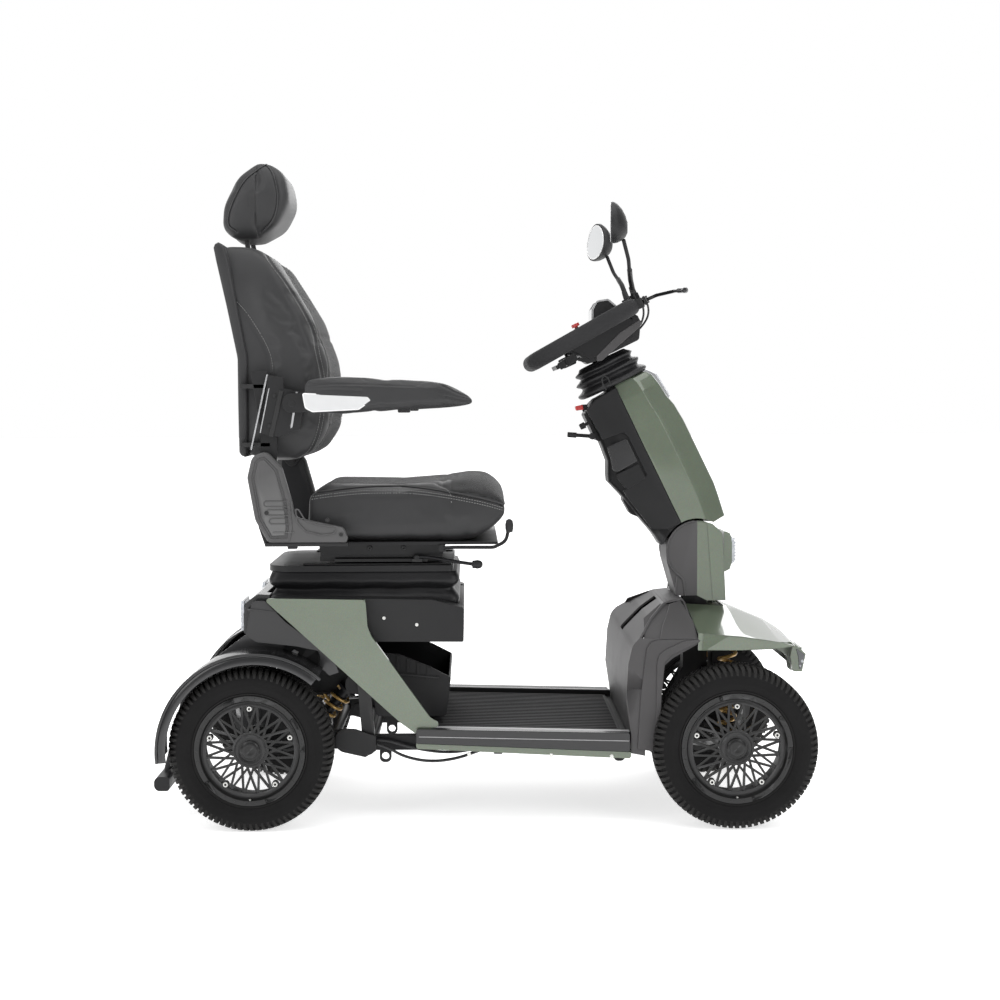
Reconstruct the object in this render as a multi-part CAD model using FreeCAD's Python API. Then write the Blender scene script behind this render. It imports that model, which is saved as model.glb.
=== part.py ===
import FreeCAD, Part
import math
import os

# Four-wheel mobility scooter, millimetres.
# +X is forwards, +Y is the rider's left, +Z is up.
# The origin is on the ground, in the middle of the scooter's length and width.

V = FreeCAD.Vector
OUT = "parts"
os.makedirs(OUT, exist_ok=True)

# ---------------------------------------------------------------- driving dimensions
TYRE_R = 190.0          # 15 inch tyre
TYRE_HALF_W = 55.0
RIM_LIP_R = 127.5
LATTICE_R = 103.0       # where the crossing spokes end
HUB_R = 38.0
AXLE_R = 12.0
BORE_GAP = 0.08         # radial clearance of running fits
AXLE_Z = 190.0
REAR_X = -533.0
FRONT_X = 585.0
TRACK_Y = 285.0         # centre plane of each wheel
PANEL = 4.0             # moulded wall

PIVOT_X, PIVOT_Z = -321.0, 191.0            # rear swing arm
SHOCK_TOP = (-304.0, 319.0)
SHOCK_LOW = (-436.0, 180.0)
SHOCK_Y = 165.0
ARM_Y, ARM_Z = 75.0, 185.0                  # front arm pivot, along X
KING_Y = 255.0                              # steering axis of each front wheel
SPRING_Y = 180.0
SPRING_TOP_Z = 425.0

TILLER_X, TILLER_Z = 528.0, 620.0           # tiller tilt axis
TILLER_LEAN = 25.9                          # degrees, top towards the rider
NECK_R = 75.0

SEAT_X = -250.0                             # seat swivel axis
SEAT_POSTS = [(-390, -155), (-390, 155), (-180, -155), (-180, 155)]
POST_R = 7.0
SHOCK_PIN_R = 5.05
RECLINE_X, RECLINE_Z = -492.0, 835.0
ARM_PIVOT_X, ARM_PIVOT_Z = -432.0, 985.0

# ---------------------------------------------------------------- drawing helpers
PLANES = {
    "xz": (lambda u, v, w: V(u, w, v), V(0, 1, 0)),
    "xy": (lambda u, v, w: V(u, v, w), V(0, 0, 1)),
    "yz": (lambda u, v, w: V(w, u, v), V(1, 0, 0)),
}


def outline(points, place):
    """Closed wire through points (u, v) or (u, v, corner radius)."""
    count = len(points)
    spans = []
    for i, point in enumerate(points):
        here = place(point[0], point[1])
        radius = point[2] if len(point) > 2 else 0.0
        if radius <= 0.0:
            spans.append((here, None, here))
            continue
        before = place(*points[i - 1][:2]) - here
        after = place(*points[(i + 1) % count][:2]) - here
        before.normalize()
        after.normalize()
        half = before.getAngle(after) / 2.0
        reach = radius / math.tan(half)
        middle = before + after
        middle.normalize()
        depth = radius / math.sin(half) - radius
        spans.append((here + before * reach, here + middle * depth, here + after * reach))
    edges = []
    for i, (start, middle, end) in enumerate(spans):
        if middle is not None:
            edges.append(Part.Arc(start, middle, end).toShape())
        following = spans[(i + 1) % count][0]
        if (following - end).Length > 1e-6:
            edges.append(Part.LineSegment(end, following).toShape())
    return Part.Wire(edges)


def face(plane, points, level):
    place = PLANES[plane][0]
    return Part.Face(outline(points, lambda u, v: place(u, v, level)))


def prism(plane, points, low, high):
    return face(plane, points, low).extrude(PLANES[plane][1] * (high - low))


def sides(plane, points, low, high):
    """The same prism on the right and on the left of the middle plane."""
    right = prism(plane, points, -high, -low)
    return [right, mirrored(right)]


def box(x0, x1, y0, y1, z0, z1):
    return Part.makeBox(x1 - x0, y1 - y0, z1 - z0, V(x0, y0, z0))


def rod(x, y, z, axis, radius, low, high):
    """Cylinder along a frame axis, from low to high on that axis."""
    direction = {"x": V(1, 0, 0), "y": V(0, 1, 0), "z": V(0, 0, 1)}[axis]
    base = V(x, y, z) + direction * low
    return Part.makeCylinder(radius, high - low, base, direction)


def rod_between(a, b, radius):
    direction = V(*b) - V(*a)
    return Part.makeCylinder(radius, direction.Length, V(*a), direction)


def mirrored(shape):
    return shape.mirror(V(0, 0, 0), V(0, 1, 0))


def fused(*shapes):
    flat = []
    for shape in shapes:
        flat.extend(shape if isinstance(shape, list) else [shape])
    whole = flat[0].multiFuse(flat[1:]) if len(flat) > 1 else flat[0]
    refined = whole.removeSplitter()
    return refined if refined.isValid() else whole


def cut(shape, *tools):
    flat = []
    for tool in tools:
        flat.extend(tool if isinstance(tool, list) else [tool])
    return shape.cut(flat)


def lathe(profile, centre, axis="y"):
    """Turn (radius, height) points about an axis through centre."""
    cx, cy, cz = centre
    if axis == "y":
        points = [V(cx + r, cy + h, cz) for r, h in profile]
        direction = V(0, 1, 0)
    else:
        points = [V(cx + r, cy, cz + h) for r, h in profile]
        direction = V(0, 0, 1)
    wire = Part.makePolygon(points + [points[0]])
    return Part.Face(wire).revolve(V(*centre), direction, 360)


def route_wire(points, bends=None, report=None):
    """Straight runs joined by tangent arcs; each arc is as large as its runs allow."""
    nodes = [V(*p) for p in points]
    edges = []
    start = nodes[0]
    radii = []
    for i in range(1, len(nodes) - 1):
        back = nodes[i - 1] - nodes[i]
        ahead = nodes[i + 1] - nodes[i]
        shorter = min(back.Length, ahead.Length)
        back.normalize()
        ahead.normalize()
        half = back.getAngle(ahead) / 2.0
        reach = 0.45 * shorter
        if bends is not None:
            reach = min(reach, bends / math.tan(half))
        radius = reach * math.tan(half)
        middle = back + ahead
        middle.normalize()
        depth = radius / math.sin(half) - radius
        a = nodes[i] + back * reach
        b = nodes[i] + ahead * reach
        edges.append(Part.LineSegment(start, a).toShape())
        edges.append(Part.Arc(a, nodes[i] + middle * depth, b).toShape())
        start = b
        radii.append(radius)
    edges.append(Part.LineSegment(start, nodes[-1]).toShape())
    if report:
        print(report, "radii", [round(r) for r in radii])
    return Part.Wire(edges)


def tube(points, radius, bends=None, report=None):
    wire = route_wire(points, bends, report)
    first = wire.Edges[0]
    direction = first.tangentAt(first.FirstParameter)
    circle = Part.Wire(Part.makeCircle(radius, V(*points[0]), direction))
    return wire.makePipeShell([circle], True, False)


def hollow(plane, points, low, high, wall, end_walls=True):
    """A shell: the prism less the same outline drawn in by the wall."""
    outer = prism(plane, points, low, high)
    inner_face = face(plane, points, low).makeOffset2D(-wall)
    step = wall if end_walls else -1.0
    inner = inner_face.extrude(PLANES[plane][1] * (high - low - 2.0 * step))
    inner.translate(PLANES[plane][1] * step)
    return outer.cut(inner)


def on_tiller(shape):
    """Move a shape drawn about the upright tiller axis to its leaning place."""
    moved = shape.copy()
    moved.rotate(V(0, 0, 0), V(0, 1, 0), -TILLER_LEAN)
    moved.translate(V(TILLER_X, 0, TILLER_Z))
    return moved


def coil(radius, wire_radius, height, turns):
    """Helical spring standing on z = 0."""
    rise = height - 2.0 * wire_radius
    helix = Part.makeHelix(rise / turns, rise, radius)
    helix.translate(V(0, 0, wire_radius))
    circle = Part.Wire(Part.makeCircle(wire_radius, V(radius, 0, wire_radius), V(0, 1, 0)))
    return Part.Wire(helix.Edges).makePipeShell([circle], True, True)


nodes = {}


def save(name, *shapes):
    """One node; several shapes stay separate solids."""
    solids = []
    for shape in shapes:
        for item in shape if isinstance(shape, list) else [shape]:
            solids.extend(item.Solids)
    whole = solids[0] if len(solids) == 1 else Part.makeCompound(solids)
    nodes[name] = whole
    whole.exportStep(os.path.join(OUT, name + ".step"))
    print(name, len(solids), "solid(s)", "valid" if whole.isValid() else "NOT VALID")


# ---------------------------------------------------------------- chassis frame
RAIL_TOP = 192.0
RAIL_END = 382.0        # the steered tyres sweep the space ahead of this


def hollow_box(x0, x1, y0, y1, z0, z1, wall=3.0):
    """Box section, closed at its ends, whose run is along the longest side."""
    return cut(box(x0, x1, y0, y1, z0, z1), box(x0 + wall, x1 - wall, y0 + wall, y1 - wall, z0 + wall,
                                                z1 - wall))


def ladder():
    """Lower frame: rails, cross tubes, outriggers, rear pivot plates and tie-down lugs."""
    rails = [hollow_box(-275, RAIL_END, -180, -150, 158, RAIL_TOP),
             hollow_box(-275, RAIL_END, 150, 180, 158, RAIL_TOP)]
    rear_cross = rod(-270, 0, 175, "y", 20, -222, 222)
    middle_cross = box(45, 75, -150, 150, 162, 188)
    front_cross = hollow_box(RAIL_END - 32, RAIL_END, -150, 150, 160, RAIL_TOP)
    outriggers = []
    for x in (28, 230):
        outriggers += [box(x, x + 20, -262, -178, 165, 185), box(x, x + 20, 178, 262, 165, 185)]
    pivot_plate = [(-275, 150), (-250, 165), (-250, 200), (-300, 217, 10), (-345, 217, 24), (-345, 166, 24)]
    plates = sides("xz", pivot_plate, 214, 222)
    pins = sides_rod(PIVOT_X, PIVOT_Z, 10, 190, 222)
    tie_downs = []
    for x in (-230, 330):
        lug = [(x - 14, 160), (x - 14, 126, 12), (x + 14, 126, 12), (x + 14, 160)]
        tie_downs += [cut(side, rod(x, 0, 141, "y", 9, -300, 300)) for side in sides("xz", lug, 160, 168)]
    return fused(rails, rear_cross, middle_cross, front_cross, outriggers, plates, pins, tie_downs)


def sides_rod(x, z, radius, low, high):
    """A pin along Y on the right, and its mirror image on the left."""
    return [rod(x, 0, z, "y", radius, -high, -low), rod(x, 0, z, "y", radius, low, high)]


def shock_upright(side):
    """One rear upright with the upper pin of its damper; side is -1 on the right."""
    upright = prism("xz", [(-282, 185), (-252, 185), (-275, 475), (-305, 475)], 192, 212)
    shock_x, shock_z = SHOCK_TOP
    lug_shape = [(shock_x - 18, shock_z - 18, 17), (-260, shock_z - 30), (-265, shock_z + 30),
                 (shock_x - 18, shock_z + 18, 17)]
    pin = rod(shock_x, 0, shock_z, "y", SHOCK_PIN_R, 146, 200)
    left = fused(upright, prism("xz", lug_shape, 192, 200), pin)
    return left if side > 0 else mirrored(left)


def seat_ring():
    """Upper frame that carries the seat platform's guide posts, with the battery tray hung below."""
    ring = cut(box(-480, -60, -212, 212, 470, 500), box(-455, -85, -187, 187, 460, 510))
    beams = [box(x - 13, x + 13, -190, 190, 472, 498) for x in (-390, -285, -180)]
    sleeves = [rod(x, y, 0, "z", POST_R + 0.5, 460, 510) for x, y in SEAT_POSTS]
    return cut(fused(ring, beams), sleeves)


def battery_tray():
    tray = [box(-484.5, -284, -136, 136, 286, 291.8)]
    for y in (-110, 30):
        tray += [box(-484.5, -479.8, y, y + 80, 286, 480), box(-288.5, -284, y, y + 80, 286, 480)]
    return fused(tray)


def tail_frame():
    tubes = [tube([(-467, y, 480), (-478, y, 395), (-700, y, 305), (-752, y, 105)], 13, 60) for y in (-150,
            150)]
    return fused(tubes, box(-752, -738, -170, 170, 88, 112))


def front_frame():
    """Spine, front arm mounts and spring tower."""
    spine = hollow_box(RAIL_END - 20, 550, -40, 40, 160, RAIL_TOP)
    subframe = box(545, 625, -58, 58, 160, 330)
    inside = box(549, 621, -46, 46, 164, 326)
    subframe = cut(subframe, box(558.5, 611.5, -70, -50, 160, 215), box(558.5, 611.5, 50, 70, 160, 215),
                   inside)
    arm_lugs = []
    for y0, y1 in ((-92, -50), (50, 92)):
        arm_lugs += [box(545, 557.5, y0, y1, 168, 204), box(612.5, 625, y0, y1, 168, 204)]
    arm_pins = [rod(0, y, ARM_Z, "x", 6, 546, 624) for y in (-ARM_Y, ARM_Y)]
    tower = box(570, 600, -40, 40, 325, SPRING_TOP_Z + 12)
    tower_beam = box(568, 602, -206, 206, SPRING_TOP_Z, SPRING_TOP_Z + 12)
    return fused(spine, subframe, arm_lugs, arm_pins, tower, tower_beam)


def tiller_post():
    outer = [(545, 200), (560, 330), (556, 620), (500, 620), (500, 330), (420, 192), (420, 165), (545, 165)]
    post = prism("xz", outer, -24, 24)
    lightening = prism("xz", [(540, 340), (538, 590), (518, 590), (516, 340)], -18, 18)
    head = rod(TILLER_X, 0, TILLER_Z, "y", 26, -24, 24)
    return fused(cut(post, lightening), head, rod(TILLER_X, 0, TILLER_Z, "y", 10, -60, 60))


bumper_bar = [(-775, 72, 14), (-738, 72, 8), (-738, 106, 8), (-775, 106, 14)]
frame_parts = []
for part in (ladder(), front_frame(), tiller_post(), shock_upright(-1), shock_upright(1), seat_ring(),
             battery_tray(),
             tail_frame(), prism("xz", bumper_bar, -225, 225)):
    frame_parts.append(cut(part, frame_parts) if frame_parts else part)
frame = Part.makeCompound([solid for part in frame_parts for solid in part.Solids])
save("chassis_frame", frame_parts)

# ---------------------------------------------------------------- deck and side panels
DECK_REAR, DECK_FRONT = -150.0, 344.6


def deck_z(x, rear_z, front_z):
    return rear_z + (front_z - rear_z) * (x - DECK_REAR) / (DECK_FRONT - DECK_REAR)


floor_outline = [(DECK_REAR, 217), (DECK_FRONT, 205), (DECK_FRONT, 193), (DECK_REAR, 203)]
edge_outline = [(DECK_REAR, 231), (DECK_FRONT, 219), (DECK_FRONT, 193), (DECK_REAR, 203)]
save("deck_pan", fused(prism("xz", floor_outline, -264, 264), sides("xz", edge_outline, 262, 283)))
mat_outline = [(x, deck_z(x, 217, 205) + lift) for x,
               lift in ((-140, 0.2), (330, 0.2), (330, 4.2), (-140, 4.2))]
save("floor_mat", prism("xz", mat_outline, -256, 256))
rail_outline = [(-152, 233, 6), (342, 222, 6), (342, 178, 4), (-152, 200, 4)]
rails = sides("xz", rail_outline, 284, 306)
save("side_rails", rails)

band = [(-505, 537, 6), (-267, 532, 10), (-263, 470, 12), (-254, 447, 20), (-119, 256, 40), (-84, 239, 8),
        (-147, 226, 6), (-147, 215, 6), (-189, 246)]
panels = sides("xz", band, 286, 291)
returns = sides("xz", [(-268, 532, 2), (-264, 468), (-255, 446), (-122, 257), (-126, 254), (-258, 445),
                       (-268, 468),
                       (-272, 532)], 266, 286.5)
sill = [(-152, 198), (345, 176), (345, 161, 6), (-152, 186, 6)]
sills = sides("xz", sill, 264, 300)
panels = [cut(fused(a, b), rails) for a, b in zip(panels, returns)]
save("side_panels", panels, cut(sills[0], rails), cut(sills[1], rails))

# ---------------------------------------------------------------- under-seat box
cover_outline = [(-489, 536), (-113, 528, 20), (-41, 509, 4), (-41, 429, 4), (-258, 431), (-489, 445)]
cover = hollow("xz", cover_outline, -262, 262, PANEL)
cover = cut(cover, box(-484, -46, -258, 258, 400, 452), box(-500, -20, -212, 212, 508, 560))
cover = fused(cover, box(-489, -42, -212, 212, 504, 508))
cover_holes = [rod(x, y, 0, "z", 8.5, 490, 520) for x, y in SEAT_POSTS]
cover = cut(cover, cover_holes, frame)
save("battery_cover", cover)

# ---------------------------------------------------------------- tail, fenders, lamps
cowl_outline = [(-492, 541), (-520, 543, 12), (-546, 524, 14), (-553, 496, 8), (-553, 453, 6), (-540, 443, 6),
                (-492, 432)]
cowl = hollow("xz", cowl_outline, -258, 258, PANEL)
cowl = cut(cowl, box(-500, -470, -254, 254, 420, 536))
cowl = cut(cowl, box(-540, -480, -254, 254, 420, 450), box(-504, -480, -210, 210, 503, 560))
wing = [(-545, 450, 4), (-520, 434, 8), (-430, 424), (-358, 409, 4), (-453, 481), (-500, 530, 6),
        (-530, 530, 12)]
cowl = cut(fused(cowl, sides("xz", wing, 257, 284)), cover)
save("tail_cowl", cowl)

FENDER_X, FENDER_Z, FENDER_R = -520.0, 188.0, 228.0


def sector(radius_in, radius_out, start, end, low, high):
    """Part of a ring about the fender centre, between two angles in degrees."""
    def at(radius, angle):
        turn = math.radians(angle)
        return V(FENDER_X + radius * math.cos(turn), low, FENDER_Z + radius * math.sin(turn))
    middle = (start + end) / 2.0
    edges = [Part.Arc(at(radius_out, start), at(radius_out, middle), at(radius_out, end)).toShape(),
             Part.LineSegment(at(radius_out, end), at(radius_in, end)).toShape(),
             Part.Arc(at(radius_in, end), at(radius_in, middle), at(radius_in, start)).toShape(),
             Part.LineSegment(at(radius_in, start), at(radius_out, start)).toShape()]
    return Part.Face(Part.Wire(edges)).extrude(V(0, high - low, 0))


FENDER_PANELS = (186, 159, 132, 104, 77, 50)


def fender():
    """Top in bent panels end to end, with a flat outer lip and a flat inner apron."""
    tops = [sector(FENDER_R - 4, FENDER_R, start, end, -345, -215)
            for start, end in zip(FENDER_PANELS, FENDER_PANELS[1:])]
    lip = sector(FENDER_R - 24, FENDER_R, 186, 50, -349, -345)
    apron_outline = [(-640, 372), (-545, 449), (-520, 433), (-358, 408), (-330, 345, 10), (-372, 352)]
    apron = cut(prism("xz", apron_outline, -219, -215), tops)
    inside = rod(FENDER_X, 0, FENDER_Z, "y", FENDER_R - 24.001, -400, 0)
    return [cut(shape, inside, cowl) for shape in tops + [lip, apron]]


right_fender = fender()
save("rear_fenders", right_fender, [mirrored(shape) for shape in right_fender])

tail_lamps = sides("xz", [(-561, 526, 3), (-553.2, 526), (-553.2, 456), (-561, 456, 3)], 150, 245)
hood_lamps = sides("xz", [(716, 424, 3), (742, 414, 3), (738, 394, 3), (722, 404, 3)], 152, 166)
neck_lamp = prism("xz", [(598.5, 662), (614, 657, 6), (625, 640, 6), (625, 592, 8), (598.5, 572)], -42, 42)
save("body_lamps", tail_lamps, hood_lamps, neck_lamp)

# ---------------------------------------------------------------- storage bin and batteries
bin_outline = [(-274, 396, 20), (-195, 389), (-122, 359, 60), (-72, 333, 8), (-84, 240, 10), (-250, 240, 10)]
bin_shell = hollow("xz", bin_outline, -185, 185, PANEL)
bin_top = prism("xz", [(-270, 430), (-270, 391), (-195, 384), (-122, 354, 60), (-77, 331), (-60, 430)],
                -181, 181)
save("storage_bin", cut(bin_shell, bin_top))

batteries = []
for y0 in (-134, 4):
    case = box(-479, -289, y0, y0 + 130, 292, 455)
    posts = [rod(x, y0 + 65, 0, "z", 6, 454, 464) for x in (-452, -318)]
    batteries.append(fused(case, posts))
controller = box(-165, -95, -80, 80, 440, 468)
save("battery_pack", batteries, controller)

# ---------------------------------------------------------------- front bodywork
shroud_outline = [(346, 172), (378, 166), (379, 258, 40), (388, 322, 30), (402, 358, 30), (442, 394, 40),
                  (499, 426), (499, 441), (490, 512, 10), (441, 505, 40), (398, 474, 40), (349, 424, 40),
                  (339, 380), (334, 296), (346, 214)]
shroud = hollow("xz", shroud_outline, -295, 295, PANEL)
arch = prism("yz", [(-296, 150), (296, 150), (296, 438), (90, 520), (-90, 520), (-296, 438)], 300, 520)
shroud = shroud.common(arch)
leg_opening = box(380, 510, -150, 150, 150, 440)
shroud = cut(shroud, box(350, 520, -28, 28, 150, 500), leg_opening, box(350, 395, -60, 60, 150, 200))
neck_outline = [(478, 512), (453, 600, 40), (455, 655, 30), (484, 690, 30), (528, 697), (528, 512)]


def neck_half(profile):
    whole = hollow("xz", profile, -72, 72, PANEL)
    return cut(whole, box(482, 590, -68, 68, 505, 545), box(520, 536, -68, 68, 505, 692))


slot = [(TILLER_X, TILLER_Z)] + [(TILLER_X + 150 * math.cos(math.radians(a)),
                                  TILLER_Z + 150 * math.sin(math.radians(a)))
                                 for a in (76, 144)]
neck_slot = prism("xz", slot, -44, 44)
dome = rod(TILLER_X, 0, TILLER_Z, "y", NECK_R, -90, 90)
above_dome = cut(box(420, 640, -90, 90, TILLER_Z, 760), dome)
neck_rear = cut(neck_half(neck_outline), neck_slot, above_dome, shroud, frame)
SHROUD_JOIN_Z = 322.0
shroud = cut(shroud, frame)
shroud_legs = shroud.common(box(300, 560, -300, 300, 100, SHROUD_JOIN_Z))
shroud_top = shroud.common(box(300, 560, -300, 300, SHROUD_JOIN_Z, 560))
save("front_shroud", shroud_top, shroud_legs, neck_rear)

HOOD_SECTIONS = [
    # x, middle z, flat half-width, side z, half-width
    (500, 492, 76, 452, 298),
    (600, 486, 66, 444, 300),
    (690, 452, 56, 428, 280),
    (735, 425, 50, 412, 240),
    (768, 396, 40, 388, 165),
]


def hood_body(inset):
    wires = []
    for x, top, flat, side, half in HOOD_SECTIONS:
        half -= inset
        points = [V(x, -half, 330 - inset), V(x, -half, side - inset), V(x, -flat, top - inset),
                  V(x, flat, top - inset), V(x, half, side - inset), V(x, half, 330 - inset)]
        wires.append(Part.makePolygon(points + [points[0]]))
    return Part.makeLoft(wires, True, True)


hood = cut(hood_body(0.0), hood_body(PANEL), box(480, 764, -156, 156, 320, 392))
hood = cut(hood, box(490, 770, -310, -150, 320, 412), box(490, 770, 150, 310, 320, 412))
hood = cut(hood, box(490, 740, -310, 310, 320, 412), box(499, 502, -70, 70, 440, 500), frame)
nose = prism("xz", [(760, 396), (768, 396), (757, 345, 2), (752, 345, 1.5), (755, 396)], -156, 156)
hood = cut(fused(hood, nose), hood_lamps)
cowl_outline = [(528, 697), (566, 692, 20), (590, 664, 24), (598, 500), (552, 500), (528, 512)]
neck_front = cut(neck_half(cowl_outline), neck_slot, above_dome, hood, neck_rear)
hood = cut(hood, box(500, 594, -68, 68, 470, 500))
save("front_hood", hood, cut(neck_front, frame))

# ---------------------------------------------------------------- cables held under the deck
save("underfloor_cables",
     tube([(-249, -205, 178), (-222, -205, 170), (-185, -205, 147), (-122, -204, 134), (-58, -204, 142),
           (-10, -205, 160), (27.8, -206, 172)], 3.5, None, "brake cable"),
     tube([(-249, -193, 186), (-222, -193, 184), (-183, -192, 171), (-122, -192, 157), (-62, -192, 154),
           (-12, -193, 164), (27.8, -194, 176)], 3.5, None, "motor lead"))

# ---------------------------------------------------------------- rear axle
def rear_swing_arm():
    arm = [(PIVOT_X + 24, PIVOT_Z - 24, 21), (PIVOT_X + 24, PIVOT_Z + 24, 21), (-450, 206), (REAR_X, 224),
           (REAR_X - 34, 224, 33), (REAR_X - 34, 156, 33), (REAR_X, 156), (-450, 170)]
    plates = sides("xz", arm, 195, 210)
    bore = rod(PIVOT_X, 0, PIVOT_Z, "y", 10 + BORE_GAP, -230, 230)
    cross = rod(-352, 0, PIVOT_Z, "y", 13, -197, 197)
    low_x, low_z = SHOCK_LOW
    pins = [rod(low_x, 0, low_z, "y", SHOCK_PIN_R, -197, -148),
            rod(low_x, 0, low_z, "y", SHOCK_PIN_R, 148, 197)]
    shafts = [rod(REAR_X, 0, AXLE_Z, "y", AXLE_R, -322, -200), rod(REAR_X, 0, AXLE_Z, "y", AXLE_R, 200, 322)]
    return cut(fused(plates, cross, pins, shafts), bore)


save("rear_swing_arm", rear_swing_arm())
housing = fused(rod(REAR_X, 0, AXLE_Z, "y", 60, -75, 75), rod(REAR_X, 0, AXLE_Z, "y", 24, -194.9, 194.9),
                rod(0, 0, AXLE_Z, "x", 44, -500, -374), rod(0, 0, AXLE_Z, "x", 50, -470, -452))
save("drive_motor", housing)


def shock_place(shape):
    """Move a shape drawn along +Z from the top eye to its leaning place."""
    dx = SHOCK_LOW[0] - SHOCK_TOP[0]
    dz = SHOCK_LOW[1] - SHOCK_TOP[1]
    moved = shape.copy()
    moved.rotate(V(0, 0, 0), V(0, 1, 0), math.degrees(math.atan2(dx, dz)))
    moved.translate(V(SHOCK_TOP[0], -SHOCK_Y, SHOCK_TOP[1]))
    return moved


SHOCK_LENGTH = math.hypot(SHOCK_LOW[0] - SHOCK_TOP[0], SHOCK_LOW[1] - SHOCK_TOP[1])
eye_bore = rod(0, 0, 0, "y", SHOCK_PIN_R + BORE_GAP, -30, 30)
low_bore = rod(0, 0, SHOCK_LENGTH, "y", SHOCK_PIN_R + BORE_GAP, -30, 30)
shock_body = fused(rod(0, 0, 0, "y", 14, -14, 14), rod(0, 0, 0, "z", 13, 8, 118),
                   rod(0, 0, 0, "z", 25, 22, 28))
shock_body = cut(shock_body, eye_bore, rod(0, 0, 0, "z", 8.5, 52, 120))
shock_rod = fused(rod(0, 0, 0, "z", 6, 70, SHOCK_LENGTH - 8), rod(0, 0, SHOCK_LENGTH, "y", 12, -12, 12),
                  rod(0, 0, 0, "z", 25, 154, 160))
shock_rod = cut(shock_rod, low_bore)
shock_coil = coil(20.5, 4.0, 125.0, 5.0)
shock_coil.translate(V(0, 0, 28.5))
for name, shape in (("rear_shock_bodies", shock_body), ("rear_shock_rods", shock_rod),
                    ("rear_springs", shock_coil)):
    placed = shock_place(shape)
    save(name, placed, mirrored(placed))

# ---------------------------------------------------------------- front suspension
def front_arm():
    boss = rod(0, -ARM_Y, ARM_Z, "x", 13, 559, 611)
    plate = prism("xy", [(559, -72), (611, -72), (607, -205, 20), (598, -KING_Y), (572, -KING_Y),
                         (563, -205, 20)],
                  178, 192)
    end = rod(FRONT_X, -KING_Y, 0, "z", 16, 172, 198)
    king_pin = rod(FRONT_X, -KING_Y, 0, "z", 8, 172, 232)
    seat = rod(FRONT_X, -SPRING_Y, 0, "z", 26, 190, 200)
    return cut(fused(boss, plate, end, king_pin, seat), rod(0, -ARM_Y, ARM_Z, "x", 6 + BORE_GAP, 540, 640))


def front_knuckle():
    sleeve = rod(FRONT_X, -KING_Y, 0, "z", 15, 199, 228)
    block = box(570, 600, -277, -262, 177, 228)
    stub = rod(FRONT_X, 0, AXLE_Z, "y", AXLE_R, -322, -270)
    lever = prism("xy", [(520, -261, 6), (575, -263), (575, -247), (520, -245, 6)], 212, 222)
    body = fused(sleeve, block, stub, lever)
    return cut(body, rod(FRONT_X, -KING_Y, 0, "z", 8 + BORE_GAP, 150, 240),
               rod(FRONT_X, -KING_Y, 0, "z", 18, 150, 198.6))


arm = front_arm()
knuckle = front_knuckle()
save("front_arm_right", arm)
save("front_arm_left", mirrored(arm))
save("front_knuckle_right", knuckle)
save("front_knuckle_left", mirrored(knuckle))
front_coil = coil(19.5, 4.5, 224.4, 7.0)
front_coil.translate(V(FRONT_X, -SPRING_Y, 200.3))
save("front_spring_right", front_coil)
save("front_spring_left", mirrored(front_coil))

# ---------------------------------------------------------------- wheels
SPOKE_PAIRS = 20
BARREL_SEGMENTS = 10
SPOKE_TWIST = 27.0
WHEEL_BOLTS = 5
BOLT_CIRCLE_R = 97.0


def wheel_rim():
    """Rim about the Y axis at the origin, outer side towards -Y: a centre in a segmented barrel."""
    barrel = lathe([(RIM_LIP_R, -50), (RIM_LIP_R, -45), (119, -41), (117, -20), (117, 20), (119, 41),
                    (RIM_LIP_R, 45), (RIM_LIP_R, 50), (114, 50), (112, 20), (112, -30), (LATTICE_R, -30),
                    (LATTICE_R, -40), (112, -42), (116, -50)], (0, 0, 0))
    hub = rod(0, 0, 0, "y", HUB_R, -38, -5)
    flange = rod(0, 0, 0, "y", HUB_R + 3, -38, -30)
    spokes = []
    for k in range(SPOKE_PAIRS):
        start = 2.0 * math.pi * k / SPOKE_PAIRS
        for way in (1, -1):
            end = start + way * math.radians(SPOKE_TWIST)
            a = V((HUB_R - 4) * math.cos(start), 0, (HUB_R - 4) * math.sin(start))
            b = V((LATTICE_R + 4) * math.cos(end), 0, (LATTICE_R + 4) * math.sin(end))
            along = b - a
            bar = Part.makeBox(along.Length, 6.5, 5.4, V(0, -37.2 + 0.4 * way, -2.7))
            bar.rotate(V(0, 0, 0), V(0, 1, 0), -math.degrees(math.atan2(along.z, along.x)))
            bar.translate(a)
            spokes.append(bar)
    bosses = []
    for k in range(WHEEL_BOLTS):
        turn = math.pi / 2.0 + 2.0 * math.pi * k / WHEEL_BOLTS
        bosses.append(rod(BOLT_CIRCLE_R * math.cos(turn), 0, BOLT_CIRCLE_R * math.sin(turn), "y", 8, -40,
                          -31))
    barrel = fused(barrel, bosses)
    centre = cut(fused(hub, flange, spokes), barrel, rod(0, 0, 0, "y", AXLE_R + BORE_GAP, -37.5, 0))
    segments = []
    for k in range(BARREL_SEGMENTS):
        wedge = Part.makeCylinder(200, 200, V(0, -100, 0), V(0, 1, 0), 360.0 / BARREL_SEGMENTS)
        wedge.rotate(V(0, 0, 0), V(0, 1, 0), 360.0 * (k + 0.5) / BARREL_SEGMENTS)
        segments.append(barrel.common(wedge))
    return [centre] + segments


def wheel_fittings():
    """Hub cap and wheel bolts, outer side towards -Y."""
    pieces = [lathe([(0, -38.1), (22, -38.1), (22, -43), (17, -46.5), (0, -47.5)], (0, 0, 0))]
    for k in range(WHEEL_BOLTS):
        turn = math.pi / 2.0 + 2.0 * math.pi * k / WHEEL_BOLTS
        pieces.append(rod(BOLT_CIRCLE_R * math.cos(turn), 0, BOLT_CIRCLE_R * math.sin(turn), "y", 5.5,
                          -43.5, -40.1))
    return pieces


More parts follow.
